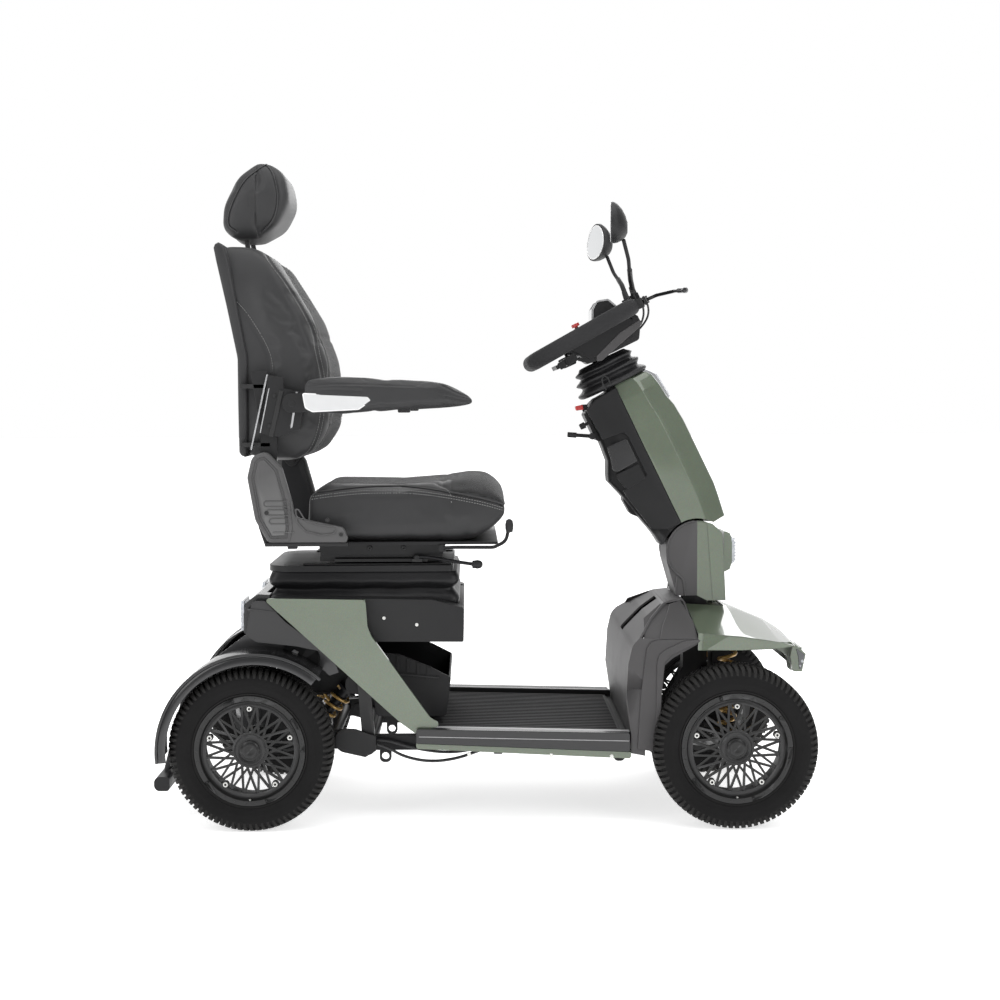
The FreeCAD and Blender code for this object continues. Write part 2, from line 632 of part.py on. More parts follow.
def wheel_tyre():
    w = TYRE_HALF_W
    outer = [(128, -44), (131, -50), (146, -w), (166, -w), (181, -w + 6), (188, -w + 16), (TYRE_R, -w + 28)]
    inner = [(181, -28), (178, -38), (164, -46), (146, -46), (134, -42), (128, -38)]
    ordered = outer + [(r, -h) for r, h in reversed(outer)]
    ordered += [(r, -h) for r, h in reversed(inner)] + inner
    return lathe(ordered, (0, 0, 0))


rim = wheel_rim()
fittings = wheel_fittings()
tyre = wheel_tyre()
for end, x in (("rear", REAR_X), ("front", FRONT_X)):
    place = V(x, -TRACK_Y, AXLE_Z)
    rim_here = [shape.translated(place) for shape in rim + fittings]
    tyre_here = tyre.translated(place)
    save("rim_" + end + "_right", rim_here)
    save("rim_" + end + "_left", [mirrored(shape) for shape in rim_here])
    save("tyre_" + end + "_right", tyre_here)
    save("tyre_" + end + "_left", mirrored(tyre_here))

# ---------------------------------------------------------------- tiller, drawn upright about its axis
SHAFT_R = 14.0


def tiller_front():
    plan = [(-5, -78), (60, -76, 10), (112, -44, 20), (112, 44, 20), (60, 76, 10), (-5, 78)]
    side = [(-5, 58), (40, 44), (100, 40, 6), (112, 130, 60), (112, 300, 60), (100, 372), (92, 433, 6),
            (72, 451, 6),
            (-5, 447)]
    plan_in = [(-9, -74.5), (58, -72.5), (108, -42, 16), (108, 42, 16), (58, 72.5), (-9, 74.5)]
    side_in = [(-9, 20), (96, 20), (108, 130, 60), (108, 300, 60), (96, 372), (88, 431), (70, 447), (-9, 443)]
    outer = prism("xy", plan, 30, 460).common(prism("xz", side, -90, 90))
    inner = prism("xy", plan_in, 10, 460).common(prism("xz", side_in, -90, 90))
    return cut(outer, inner)


def tiller_rear():
    plan = [(-5.2, -78), (-60, -78, 30), (-122, -52, 20), (-122, 52, 20), (-60, 78, 30), (-5.2, 78)]
    side = [(-5.2, 60), (-38, 76), (-76, 94, 10), (-104, 200, 30), (-121, 246, 12), (-98, 292, 20),
            (-90, 428, 10),
            (-60, 440), (-5.2, 446)]
    plan_in = [(-3, -74.5), (-59, -74.5, 26), (-118, -49, 16), (-118, 49, 16), (-59, 74.5, 26), (-3, 74.5)]
    side_in = [(-3, 20), (-38, 20), (-72, 96, 10), (-100, 202, 30), (-117, 246, 8), (-94, 292, 20),
               (-86, 424, 10),
               (-60, 436), (-3, 442)]
    outer = prism("xy", plan, 30, 460).common(prism("xz", side, -90, 90))
    inner = prism("xy", plan_in, 10, 460).common(prism("xz", side_in, -90, 90))
    return cut(outer, inner)


neck_clear = rod(0, 0, 0, "y", NECK_R + 4, -100, 100)
shaft_hole = rod(0, 0, 0, "z", 40, 430, 460)
lamp_side = [(104.5, 366), (97, 431, 4), (80, 452, 4), (68, 440), (82, 420), (92, 366)]
headlight = prism("xz", lamp_side, -33, 33)
save("tiller_cover_front", on_tiller(cut(tiller_front(), neck_clear, headlight, shaft_hole)))
save("tiller_cover_rear", on_tiller(cut(tiller_rear(), neck_clear, shaft_hole)))
save("headlight", on_tiller(headlight))

fork = sides("xz", [(-20, -20, 19.9), (20, -20, 19.9), (20, 112), (-20, 112)], 28, 36)
column = fused(fork, rod(0, 0, 0, "z", 38, 100, 112), rod(0, 0, 0, "z", 30, 110, 450))
column = cut(column, rod(0, 0, 0, "z", 25, 112, 460), rod(0, 0, 0, "z", SHAFT_R + 2, 95, 460),
             rod(0, 0, 0, "y", 10 + BORE_GAP, -50, 50))
save("tiller_column", on_tiller(column))

BOOT_LOW, BOOT_HIGH, BOOT_FOLDS = 452.5, 521.0, 4


def boot():
    profile = [(56, BOOT_LOW), (82, BOOT_LOW)]
    pitch = (BOOT_HIGH - BOOT_LOW) / BOOT_FOLDS
    for k in range(BOOT_FOLDS):
        low = BOOT_LOW + k * pitch
        profile += [(90 - 3 * k, low + 0.45 * pitch), (70 - 2 * k, low + 0.9 * pitch)]
    profile += [(62, BOOT_HIGH), (52, BOOT_HIGH)]
    return lathe(profile, (0, 0, 0), "z")


save("tiller_boot", on_tiller(boot()))

lever_root, lever_grip, lever_tip = (-106, -50, 364), (-139, -50, 383), (-158, -50, 394)
lever = fused(rod(-106, -50, 364, "y", 8, -10, 10), rod_between(lever_root, lever_grip, 4.5),
              rod_between(lever_grip, lever_tip, 6.5))
save("tilt_lever", on_tiller(lever))

# ---------------------------------------------------------------- handlebar, drawn about the same axis
LOOP_R = 20.0
LOOP_REAR, LOOP_FRONT, LOOP_HALF, LOOP_CORNER = -155.0, 108.0, 190.0, 70.0
LOOP_T = 597.0
LOOP_TILT = 3.2


def loop_tilt(shape):
    moved = shape.copy()
    moved.rotate(V(0, 0, LOOP_T), V(0, 1, 0), -LOOP_TILT)
    return moved


def loop_ring():
    corners = [(LOOP_FRONT, -LOOP_HALF, LOOP_CORNER), (LOOP_FRONT, LOOP_HALF, LOOP_CORNER),
               (LOOP_REAR, LOOP_HALF, LOOP_CORNER), (LOOP_REAR, -LOOP_HALF, LOOP_CORNER)]
    middle = ((LOOP_REAR + LOOP_FRONT) / 2.0, -LOOP_HALF, 0)
    wire = outline([middle] + corners, lambda u, v: V(u, v, LOOP_T))
    circle = Part.Wire(Part.makeCircle(LOOP_R, V(middle[0], -LOOP_HALF, LOOP_T), V(1, 0, 0)))
    return loop_tilt(wire.makePipeShell([circle], True, False))


cross_bar = rod(55, 0, 600, "y", 10, -176, 176)
bridge = box(-16, 66, -16, 16, 590, 609)
shaft = rod(0, 0, 0, "z", SHAFT_R, 116, 600)
stems = []
for side in (-1, 1):
    clamp = box(118, 140, side * 88 - 11, side * 88 + 11, 598, 629)
    stem = tube([(132, side * 88, 626), (136, side * 96, 660), (142, side * 200, 705),
                 (148, side * 226, 750)], 4.5, 30)
    stems += [clamp, stem]
loop = fused(loop_ring(), cross_bar, bridge, shaft, stems)
lever_mount = box(124, 150, -146, -118, 594, 612)
loop = fused(loop, lever_mount)
loop = cut(loop, box(133.5, 160, -150, -112, 598, 608))
brake_pin = rod(143, -132, 0, "z", 3, 592, 614)
loop = fused(loop, brake_pin)
save("handlebar_loop", on_tiller(loop))

console_side = [(-86, 598, 4), (-86, 584, 4), (-50, 553), (-34, 525, 8), (96, 525, 10), (117, 560, 10),
                (117, 578, 6),
                (88, 612, 6)]
console = hollow("xz", console_side, -82, 82, 3.0)
console_holes = [rod(0, 0, 0, "z", SHAFT_R + 1, 500, 560), rod(-25, -55, 0, "z", 5.5, 590, 620)]
pod = prism("xz", [(14, 606.6), (30, 640, 8), (48, 653, 8), (73, 645, 8), (88, 612.4)], -56, 56)
paddle_pin = rod(-73, 0, 0, "z", 4, 546, 580)
console = cut(fused(console, paddle_pin), console_holes, loop)
save("console_head", on_tiller(console), on_tiller(cut(pod, console, loop)))

paddle_plan = [(-61, -12), (-61, 12), (-92, 24, 10), (-100, 104, 5), (-114, 104, 5), (-112, 16, 10),
               (-112, -16, 10),
               (-114, -104, 5), (-100, -104, 5), (-92, -24, 10)]
paddle = cut(prism("xy", paddle_plan, 547, 557), rod(-73, 0, 0, "z", 4 + BORE_GAP, 540, 560))
save("throttle_paddle", on_tiller(paddle))

blade = fused(tube([(143, -132, 603), (170, -150, 602), (206, -196, 592), (221, -236, 584)], 4.4, 40),
              rod(143, -132, 0, "z", 9, 598.4, 607.6), rod_between((214, -216, 588), (224, -245, 582), 6.5))
save("brake_lever", on_tiller(cut(blade, rod(143, -132, 0, "z", 3 + BORE_GAP, 580, 620))))

button = fused(rod(-25, -55, 0, "z", 4.5, 598, 622), rod(-25, -55, 0, "z", 10, 620, 628))
save("stop_button", on_tiller(button))

cables = [tube([(137, -111.8, 600), (137, -96, 588), (128, -78, 566), (117.2, -60, 556)], 2.5, None,
               "lever cable"),
          tube([(146, -117.8, 603), (150, -100, 594), (146, -74, 572), (132, -50, 556), (114, -40, 548)],
               2.5, None,
               "switch lead")]
save("control_cables", on_tiller(cables[0].cut([console, loop])), on_tiller(cables[1].cut([console, loop])))

MIRROR_CENTRE = (157.0, 236.0, 797.0)


def mirror_head():
    """Shell whose glass side looks back at the rider; drawn at the origin."""
    rings = []
    for x, scale in ((0, 1.0), (8, 1.0), (24, 0.78), (34, 0.4)):
        turned = Part.Wire(Part.Ellipse(V(x, 0, 0), 64 * scale, 47 * scale).toShape())
        turned.rotate(V(x, 0, 0), V(0, 1, 0), 90)
        turned.rotate(V(x, 0, 0), V(1, 0, 0), 90)
        rings.append(turned)
    return Part.makeLoft(rings, True, False)


for side, name, yaw in ((-1, "mirror_right", 14), (1, "mirror_left", -14)):
    head = mirror_head()
    head.rotate(V(0, 0, 0), V(0, 1, 0), TILLER_LEAN)
    head.rotate(V(0, 0, 0), V(0, 0, 1), yaw)
    head.translate(V(MIRROR_CENTRE[0] - 18, side * MIRROR_CENTRE[1], MIRROR_CENTRE[2]))
    pivot = cut(rod(335.33, side * 226, 0, "z", 7, 1364.3, 1384), on_tiller(loop))
    save(name, fused(on_tiller(cut(head, loop)), pivot))

# ---------------------------------------------------------------- seat base
plate_plan = [(-504, -205, 60), (-65, -205, 12), (-65, 205, 12), (-504, 205, 60)]
top_plate = fused(prism("xy", plate_plan, 588, 603),
                  [rod(x, y, 0, "z", POST_R, 440, 590) for x, y in SEAT_POSTS])
save("seat_top_plate", cut(top_plate, rod(SEAT_X, 0, 0, "z", 20 + BORE_GAP, 580, 610)))

BELLOWS_LOW, BELLOWS_HIGH, BELLOWS_FOLDS = 508.4, 587.6, 4
fold = (BELLOWS_HIGH - BELLOWS_LOW) / BELLOWS_FOLDS
layers = []
for k in range(BELLOWS_FOLDS):
    low = BELLOWS_LOW + k * fold
    layers.append(box(-500, -52, -206, 206, low + 0.2 * fold, low + 0.8 * fold))
wall = box(-494, -58, -200, 200, BELLOWS_LOW, BELLOWS_HIGH)
save("seat_bellows", cut(fused(wall, layers), box(-488, -64, -194, 194, 500, 600)))

turret = fused(rod(SEAT_X, 0, 0, "z", 20, 589, 604), rod(SEAT_X, 0, 0, "z", 95, 603.6, 612),
               box(-345, -125, -196, 190, 611, 618), box(-380, -100, -178, -162, 611, 634),
               box(-380, -100, 162, 178, 611, 634), box(-345, -125, -182, -158, 611, 617),
               rod(-150, -200, 0, "z", 4, 612, 628), box(-162, -138, -206, -190, 611, 618))
save("swivel_turret", turret)
swivel_lever = fused(rod(-150, -200, 0, "z", 9, 618.4, 626),
                     tube([(-150, -200, 622.8), (-120, -214, 622.6), (-62, -219, 613),
                     (-14, -219, 606)], 4, 30), rod_between((-20, -219, 606), (-2, -219, 606), 9))
save("swivel_lever", cut(swivel_lever, rod(-150, -200, 0, "z", 4 + BORE_GAP, 600, 630)))


def seat_pan():
    pieces = [box(-378, -90, -188, 188, 642, 660), box(-430, 40, -240, 240, 655, 661)]
    for y in (-170, 170):
        pieces.append(cut(box(-378, -90, y - 14, y + 14, 621, 644), box(-379, -89, y - 9, y + 9, 615, 635)))
    plate = [(-500, 655), (-400, 655), (-430, 700, 20), (-465, 840), (-492, 862, 26), (-520, 835, 20),
             (-515, 700)]
    pieces += sides("xz", plate, 257, 263)
    pieces += [box(-490, -410, -262, 262, 655, 661)]
    pieces += [rod(RECLINE_X, 0, RECLINE_Z, "y", 8, -263, -240),
               rod(RECLINE_X, 0, RECLINE_Z, "y", 8, 240, 263)]
    pieces += [box(-97, -83, -236, -230, 638, 656), rod(-90, 0, 647, "y", 3, -248, -231)]
    return fused(*pieces)


save("seat_pan", seat_pan())
cushion_side = [(-418, 700, 30), (-414, 790, 12), (-376, 800, 40), (-186, 797), (-93, 803, 60),
                (-23, 814, 30),
                (46, 810, 18), (72, 783, 20), (71, 729, 30), (46, 690, 30), (0, 668, 30), (-60,
                        661.5), (-404, 661.5, 10)]
save("seat_cushion", prism("xz", cushion_side, -254, 254))

cover_side = [(-490, 664, 12), (-520, 717, 40), (-537, 815, 24), (-525, 866, 26), (-492, 876, 20),
              (-457, 838, 30),
              (-436, 763), (-427, 723, 20), (-374, 711), (-317, 699, 12), (-307, 675, 6), (-310, 664, 4)]
save("seat_side_covers", sides("xz", cover_side, 264, 285))

slide_lever = fused(tube([(-90, -242, 647), (-62, -258, 650), (30, -264, 650), (58, -264, 664),
                          (66, -264, 700)], 4, 25),
                    rod(-90, 0, 647, "y", 8, -247, -236.6), rod(66, -264, 0, "z", 8, 686, 712))
save("slide_lever", cut(slide_lever, rod(-90, 0, 647, "y", 3 + BORE_GAP, -300, -200),
                        rod(-90, 0, 647, "y", 12, -236.5, -200)))

# ---------------------------------------------------------------- backrest, headrest, armrests
BACK_LINE = [(-571, 862), (-574, 975), (-573, 1091), (-598, 1212), (-620, 1313), (-627, 1351)]


def backrest_frame():
    shell = [(x, z) for x, z in BACK_LINE] + [(x + 6, z) for x, z in reversed(BACK_LINE)]
    pieces = [prism("xz", shell, -222, 222)]
    side = [(-512, 835, 18), (-492, 813, 20), (-472, 835, 20), (-470, 920), (-492, 1060), (-530, 1060),
            (-508, 920)]
    pieces += sides("xz", side, 246, 254)
    bracket = [(-480, 1016, 8), (-407, 1000, 10), (-414, 924, 10), (-502, 925, 10)]
    pieces += sides("xz", bracket, 250, 264)
    pieces += [box(-570, -486, -254, 254, 885, 895), box(-574, -500, -254, 254, 1020, 1030)]
    pieces += [rod(ARM_PIVOT_X, 0, ARM_PIVOT_Z, "y", 8, -284, -262),
               rod(ARM_PIVOT_X, 0, ARM_PIVOT_Z, "y", 8, 262, 284)]
    body = fused(*pieces)
    return cut(body, rod(RECLINE_X, 0, RECLINE_Z, "y", 8 + BORE_GAP, -300, 300))


back_frame = backrest_frame()
save("backrest_frame", back_frame)
back_cushion = [(-566.8, 975), (-565.5, 1091), (-590.5, 1212), (-612.5, 1313), (-619, 1350), (-600, 1364, 16),
                (-523, 1358, 30), (-468, 1326, 40), (-385, 1191, 120), (-349, 1090, 120), (-336, 993, 120),
                (-344, 915, 60), (-376, 862, 30), (-420, 842, 10), (-545, 850, 20), (-564, 870)]
cushion = prism("xz", back_cushion, -236, 236)
POST_TOP, POST_LOW = (-566.0, 1400.0), (-533.0, 1245.0)
head_posts = [rod_between((POST_LOW[0], y, POST_LOW[1]), (POST_TOP[0], y, POST_TOP[1]), 6) for y in (-60, 60)]
head_bores = [rod_between((POST_LOW[0] + 2, y, POST_LOW[1] - 10), (POST_TOP[0], y, POST_TOP[1]), 7.5)
              for y in (-60, 60)]
save("backrest_cushion", cut(cushion, back_frame, head_bores))
pillow_side = [(-518, 1577, 50), (-458, 1540, 50), (-443, 1470, 70), (-474, 1404, 60), (-530, 1371, 50),
               (-594, 1371, 30), (-623, 1398, 30), (-617, 1459, 90), (-582, 1531, 70)]
pillow = prism("xz", pillow_side, -125, 125)
save("headrest", cut(pillow, head_posts), head_posts)

arm_side = [(-406, 1027, 6), (-396, 1045, 14), (-341, 1050), (-182, 1042), (-79, 1037, 30), (-22, 1007, 14),
            (-9, 991, 6),
            (-13, 980, 4), (-32, 973, 10), (-137, 967), (-297, 958), (-370, 959, 20), (-454, 965,
                    18), (-454, 1005, 18)]
arm_lug = [(-454, 963, 20), (-454, 1007, 20), (-400, 1010), (-400, 962)]
rest = fused(prism("xz", arm_side[:12] + [(-399, 975, 10)], -331, -271), prism("xz", arm_lug, -284, -271))
rest = cut(rest, rod(ARM_PIVOT_X, 0, ARM_PIVOT_Z, "y", 8 + BORE_GAP, -340, -200))
save("armrest_right", rest)
save("armrest_left", mirrored(rest))

total = Part.makeCompound(list(nodes.values())).BoundBox
print("nodes", len(nodes), "box", [round(v, 1) for v in (total.XMin, total.XMax, total.YMin, total.YMax,
                                                         total.ZMin,
                                                          total.ZMax)])
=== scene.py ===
from math import atan2, cos, pi, radians, sin, sqrt, tan
import bmesh
import bpy
import numpy as np
from mathutils import Matrix, Vector
from mathutils.bvhtree import BVHTree


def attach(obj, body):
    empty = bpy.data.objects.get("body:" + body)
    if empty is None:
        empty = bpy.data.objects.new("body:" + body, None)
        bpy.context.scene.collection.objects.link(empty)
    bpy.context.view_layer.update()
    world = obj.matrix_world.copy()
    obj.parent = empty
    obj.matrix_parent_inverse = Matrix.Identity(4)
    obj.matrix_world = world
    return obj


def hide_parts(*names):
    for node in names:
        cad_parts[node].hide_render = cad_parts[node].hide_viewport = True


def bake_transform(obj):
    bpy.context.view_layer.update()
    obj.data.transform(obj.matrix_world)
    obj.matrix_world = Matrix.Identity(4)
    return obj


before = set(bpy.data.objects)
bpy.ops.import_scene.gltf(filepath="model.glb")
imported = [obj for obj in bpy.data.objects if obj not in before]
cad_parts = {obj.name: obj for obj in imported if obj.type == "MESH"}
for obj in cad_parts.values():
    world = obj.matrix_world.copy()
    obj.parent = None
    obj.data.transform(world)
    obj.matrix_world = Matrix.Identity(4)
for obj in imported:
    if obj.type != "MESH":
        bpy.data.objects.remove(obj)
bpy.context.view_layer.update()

# The scooter's looks. Shapes are drawn in millimetres and made in metres.
# +X is forwards, +Y the rider's left, +Z up.
MM = 0.001
TILT_X, TILT_Z, TILLER_LEAN = 528.0, 620.0, radians(25.9)
FENDER_X, FENDER_Z = -520.0, 188.0      # middle of the rear fenders' arcs
SHROUD_SHOULDER_Z = 438.0               # above this the shroud's sides lean inwards
AXLE_Z, REAR_X, FRONT_X, TRACK_Y = 190.0, -533.0, 585.0, 285.0


# ------------------------------------------------------------------ outlines and shapes
def span(sign, a, b):
    """Distances a and b from the middle as low and high along Y, on the side that sign gives."""
    return sorted((sign * a, sign * b))


def shroud_side(z):
    """Half-width of the front shroud above its shoulder."""
    return 296 - (z - SHROUD_SHOULDER_Z) * 2.512


def rounded(points, arc=6):
    """Closed outline of (u, v) or (u, v, corner radius) points with its corners turned to arcs."""
    out = []
    count = len(points)
    for i, point in enumerate(points):
        here = Vector(point[:2])
        if len(point) < 3 or point[2] <= 0:
            out.append(tuple(here))
            continue
        back, on = Vector(points[i - 1][:2]) - here, Vector(points[(i + 1) % count][:2]) - here
        reach = min(back.length, on.length) * 0.49
        back.normalize()
        on.normalize()
        half = back.angle(on) / 2
        if half > 1.54:
            out.append(tuple(here))
            continue
        along = min(point[2] / tan(half), reach)
        radius = along * tan(half)
        centre = here + (back + on).normalized() * radius / sin(half)
        first, last = here + back * along - centre, here + on * along - centre
        start = atan2(first.y, first.x)
        turn = (atan2(last.y, last.x) - start + pi) % (2 * pi) - pi
        out += [(centre.x + radius * cos(start + turn * k / arc),
                 centre.y + radius * sin(start + turn * k / arc)) for k in range(arc + 1)]
    return out


def smooth_path(points, step):
    """Points about `step` apart on a soft curve through the given points."""
    pts = [Vector(p) for p in points]
    pts = [2 * pts[0] - pts[1]] + pts + [2 * pts[-1] - pts[-2]]
    out = []
    for a, b, c, d in zip(pts, pts[1:], pts[2:], pts[3:]):
        count = max(1, round((c - b).length / step))
        for k in range(count):
            t = k / count
            out.append(0.5 * (2 * b + (c - a) * t + (2 * a - 5 * b + 4 * c - d) * t * t
                              + (3 * b - a - 3 * c + d) * t ** 3))
    return out + [pts[-2]]


PLACES = {"xz": lambda u, v, w: (u, w, v), "xy": lambda u, v, w: (u, v, w), "yz": lambda u, v, w: (w, u, v)}


class Shape:
    """Vertices and faces in millimetres; each face carries a material number."""

    def __init__(self):
        self.verts, self.faces, self.slots, self.slot = [], [], [], 0

    def add(self, verts, faces):
        base = len(self.verts)
        self.verts += [tuple(v) for v in verts]
        self.faces += [tuple(base + i for i in face) for face in faces]
        self.slots += [self.slot] * len(faces)
        return self

    def rings(self, rings, closed=False):
        """Skin over rings of equal count; open ends are capped unless the rings close on themselves."""
        n, m = len(rings[0]), len(rings)
        faces = [(r * n + k, r * n + (k + 1) % n, (r + 1) % m * n + (k + 1) % n, (r + 1) % m * n + k)
                 for r in range(m if closed else m - 1) for k in range(n)]
        if not closed:
            faces += [tuple(reversed(range(n))), tuple(range((m - 1) * n, m * n))]
        return self.add([p for ring in rings for p in ring], faces)

    def prism(self, plane, points, low, high, arc=6):
        place = PLACES[plane]
        outline = rounded(points, arc)
        return self.rings([[place(u, v, w) for u, v in outline] for w in (low, high)])

    def pair(self, plane, points, low, high, arc=6):
        """The same prism on the right (-Y) and on the left; low and high are distances from the middle."""
        self.prism(plane, points, -high, -low, arc)
        return self.prism(plane, points, low, high, arc)

    def box(self, x0, x1, y0, y1, z0, z1):
        return self.prism("xy", [(x0, y0), (x1, y0), (x1, y1), (x0, y1)], z0, z1)

    def lathe(self, profile, centre=(0, 0, 0), axis="y", segments=48, closed=False):
        """Turned shape from (radius, along) points; a closed profile makes a ring."""
        cx, cy, cz = centre
        rings = []
        for r, a in profile:
            r = max(r, 0.01)
            ring = []
            for k in range(segments):
                c, s = r * cos(2 * pi * k / segments), r * sin(2 * pi * k / segments)
                ring.append({"x": (cx + a, cy + c, cz + s), "y": (cx + c, cy + a, cz + s),
                             "z": (cx + c, cy + s, cz + a)}[axis])
            rings.append(ring)
        return self.rings(rings, closed)

    def rod(self, a, b, radius, sides=16, end_radius=None):
        return self.tube([a, b], [radius, radius if end_radius is None else end_radius], sides)

    def tube(self, path, radius, sides=12):
        path = [Vector(p) for p in path]
        radii = radius if isinstance(radius, list) else [radius] * len(path)
        rings, side = [], None
        for i, p in enumerate(path):
            run = (path[min(i + 1, len(path) - 1)] - path[max(i - 1, 0)]).normalized()
            side = run.orthogonal() if side is None else side - run * side.dot(run)
            side.normalize()
            up = run.cross(side)
            rings.append([p + radii[i] * (side * cos(2 * pi * k / sides)
                                          + up * sin(2 * pi * k / sides)) for k in range(sides)])
        return self.rings(rings)

    def moved(self, matrix):
        other = Shape()
        other.verts = [tuple(matrix @ Vector(v)) for v in self.verts]
        other.faces, other.slots = list(self.faces), list(self.slots)
        return other


ON_TILLER = Matrix.Translation((TILT_X, 0, TILT_Z)) @ Matrix.Rotation(-TILLER_LEAN, 4, "Y")


# ------------------------------------------------------------------ materials
def sock(node, name):
    return node.inputs[name]


def material(name, colour, rough, tone=0.25, tone_scale=9.0, rough_spread=0.08, metal=0.0, spec=0.5,
             coat=0.0, coat_rough=0.06, sheen=0.0, grain=0.0, grain_scale=900.0, cells=False, wear=None,
             weave=0.0, flakes=False, light=0.0, clear=0.0):
    """Procedural finish: colour and roughness drift, fine grain, worn edges, weave or flakes."""
    mat = bpy.data.materials.new(name)
    mat.use_nodes = True
    tree = mat.node_tree
    shader = tree.nodes["Principled BSDF"]

    def node(kind, **values):
        made = tree.nodes.new(kind)
        for key, value in values.items():
            if key in made.inputs:
                made.inputs[key].default_value = value
            else:
                setattr(made, key, value)
        return made

    def join(a, out, b, into):
        tree.links.new(a.outputs[out], b.inputs[into])

    coords = node("ShaderNodeTexCoord")
    broad = node("ShaderNodeTexNoise", Scale=tone_scale, Detail=5.0, Roughness=0.6)
    join(coords, "Object", broad, "Vector")
    ramp = node("ShaderNodeValToRGB")
    ramp.color_ramp.elements[0].position, ramp.color_ramp.elements[1].position = 0.3, 0.72
    ramp.color_ramp.elements[0].color = [c * (1 - tone) for c in colour] + [1]
    ramp.color_ramp.elements[1].color = [min(1, c * (1 + tone)) for c in colour] + [1]
    join(broad, "Fac", ramp, "Fac")
    last = (ramp, "Color")
    height = None
    if flakes:
        cell = node("ShaderNodeTexVoronoi", Scale=1400.0)
        join(coords, "Object", cell, "Vector")
        glint = node("ShaderNodeMix", data_type="RGBA", blend_type="OVERLAY")
        sock(glint, "Factor").default_value = 0.22
        tree.links.new(last[0].outputs[last[1]], glint.inputs["A"])
        tree.links.new(cell.outputs["Color"], glint.inputs["B"])
        last = (glint, "Result")
    if weave:
        bands = []
        for direction in ("X", "Y"):
            wave = node("ShaderNodeTexWave", Scale=weave, Distortion=0.6, Detail=1.0)
            wave.bands_direction = direction
            join(coords, "Object", wave, "Vector")
            bands.append(wave)
        lift = node("ShaderNodeMath", operation="MULTIPLY")
        tree.links.new(bands[0].outputs["Fac"], lift.inputs[0])
        tree.links.new(bands[1].outputs["Fac"], lift.inputs[1])
        height = lift.outputs[0]
        shade = node("ShaderNodeMix", data_type="RGBA", blend_type="MULTIPLY")
        sock(shade, "Factor").default_value = 0.5
        tree.links.new(last[0].outputs[last[1]], shade.inputs["A"])
        tree.links.new(height, shade.inputs["B"])
        last = (shade, "Result")
    if wear:
        edge = node("ShaderNodeNewGeometry")
        band = node("ShaderNodeMapRange")
        sock(band, "From Min").default_value, sock(band, "From Max").default_value = 0.52, 0.62
        join(edge, "Pointiness", band, "Value")
        worn = node("ShaderNodeMix", data_type="RGBA")
        tree.links.new(band.outputs["Result"], worn.inputs["Factor"])
        tree.links.new(last[0].outputs[last[1]], worn.inputs["A"])
        worn.inputs["B"].default_value = list(wear) + [1]
        last = (worn, "Result")
    tree.links.new(last[0].outputs[last[1]], shader.inputs["Base Color"])
    gloss = node("ShaderNodeMapRange")
    sock(gloss, "To Min").default_value = max(0.02, rough - rough_spread)
    sock(gloss, "To Max").default_value = min(1.0, rough + rough_spread)
    join(broad, "Fac", gloss, "Value")
    join(gloss, "Result", shader, "Roughness")
    if grain:
        kind = "ShaderNodeTexVoronoi" if cells else "ShaderNodeTexNoise"
        fine = node(kind, Scale=grain_scale)
        join(coords, "Object", fine, "Vector")
        bump = node("ShaderNodeBump", Strength=0.7, Distance=grain * MM)
        tree.links.new(fine.outputs["Distance" if cells else "Fac"], bump.inputs["Height"])
        if height is not None:
            thread = node("ShaderNodeBump", Strength=0.8, Distance=0.0006)
            tree.links.new(height, thread.inputs["Height"])
            join(bump, "Normal", thread, "Normal")
            bump = thread
        join(bump, "Normal", shader, "Normal")
    sock(shader, "Metallic").default_value = metal
    sock(shader, "Specular IOR Level").default_value = spec
    sock(shader, "Coat Weight").default_value = coat
    sock(shader, "Coat Roughness").default_value = coat_rough
    sock(shader, "Sheen Weight").default_value = sheen
    if clear:
        sock(shader, "Transmission Weight").default_value = clear
        sock(shader, "IOR").default_value = 1.45
    if light:
        tree.links.new(last[0].outputs[last[1]], shader.inputs["Emission Color"])
        sock(shader, "Emission Strength").default_value = light
    return mat


GREEN = material("paint_green", (0.098, 0.122, 0.084), 0.30, tone=0.06, rough_spread=0.04, metal=0.3,
                 coat=1.0, coat_rough=0.05, grain=0.012, grain_scale=700.0, flakes=True, spec=0.45)
SHROUD = material("plastic_grey", (0.052, 0.050, 0.051), 0.52, tone=0.10, grain=0.05, grain_scale=1600.0,
                  wear=(0.09, 0.088, 0.09), spec=0.3)
COVER = material("plastic_side_cover", (0.068, 0.067, 0.068), 0.50, tone=0.12, grain=0.06, grain_scale=1500.0,
                 wear=(0.12, 0.12, 0.12), spec=0.3)
GLOSS = material("plastic_black_gloss", (0.006, 0.006, 0.0065), 0.24, tone=0.2, coat=0.35, coat_rough=0.1,
                 spec=0.28, grain=0.01, grain_scale=300.0, wear=(0.05, 0.05, 0.052))
PLASTIC = material("plastic_black", (0.009, 0.009, 0.0095), 0.48, tone=0.18, grain=0.05, grain_scale=1400.0,
                   wear=(0.04, 0.04, 0.041), spec=0.2)
STEEL_BLACK = material("steel_black_coat", (0.008, 0.008, 0.009), 0.42, tone=0.2, grain=0.03,
                       grain_scale=800.0, wear=(0.04, 0.04, 0.04), spec=0.24)
STEEL = material("steel_bright", (0.52, 0.52, 0.53), 0.28, tone=0.12, tone_scale=40.0, metal=1.0, grain=0.02,
                 grain_scale=2000.0)
PLATE = material("plate_light_grey", (0.33, 0.33, 0.335), 0.45, tone=0.08, grain=0.02, spec=0.4)
RUBBER = material("rubber_mat", (0.016, 0.016, 0.017), 0.62, tone=0.2, grain=0.08, grain_scale=1100.0,
                  spec=0.2)
TYRE = material("rubber_tyre", (0.008, 0.0078, 0.008), 0.66, tone=0.22, tone_scale=14.0, grain=0.06,
                grain_scale=1300.0, wear=(0.022, 0.0215, 0.021), spec=0.12)
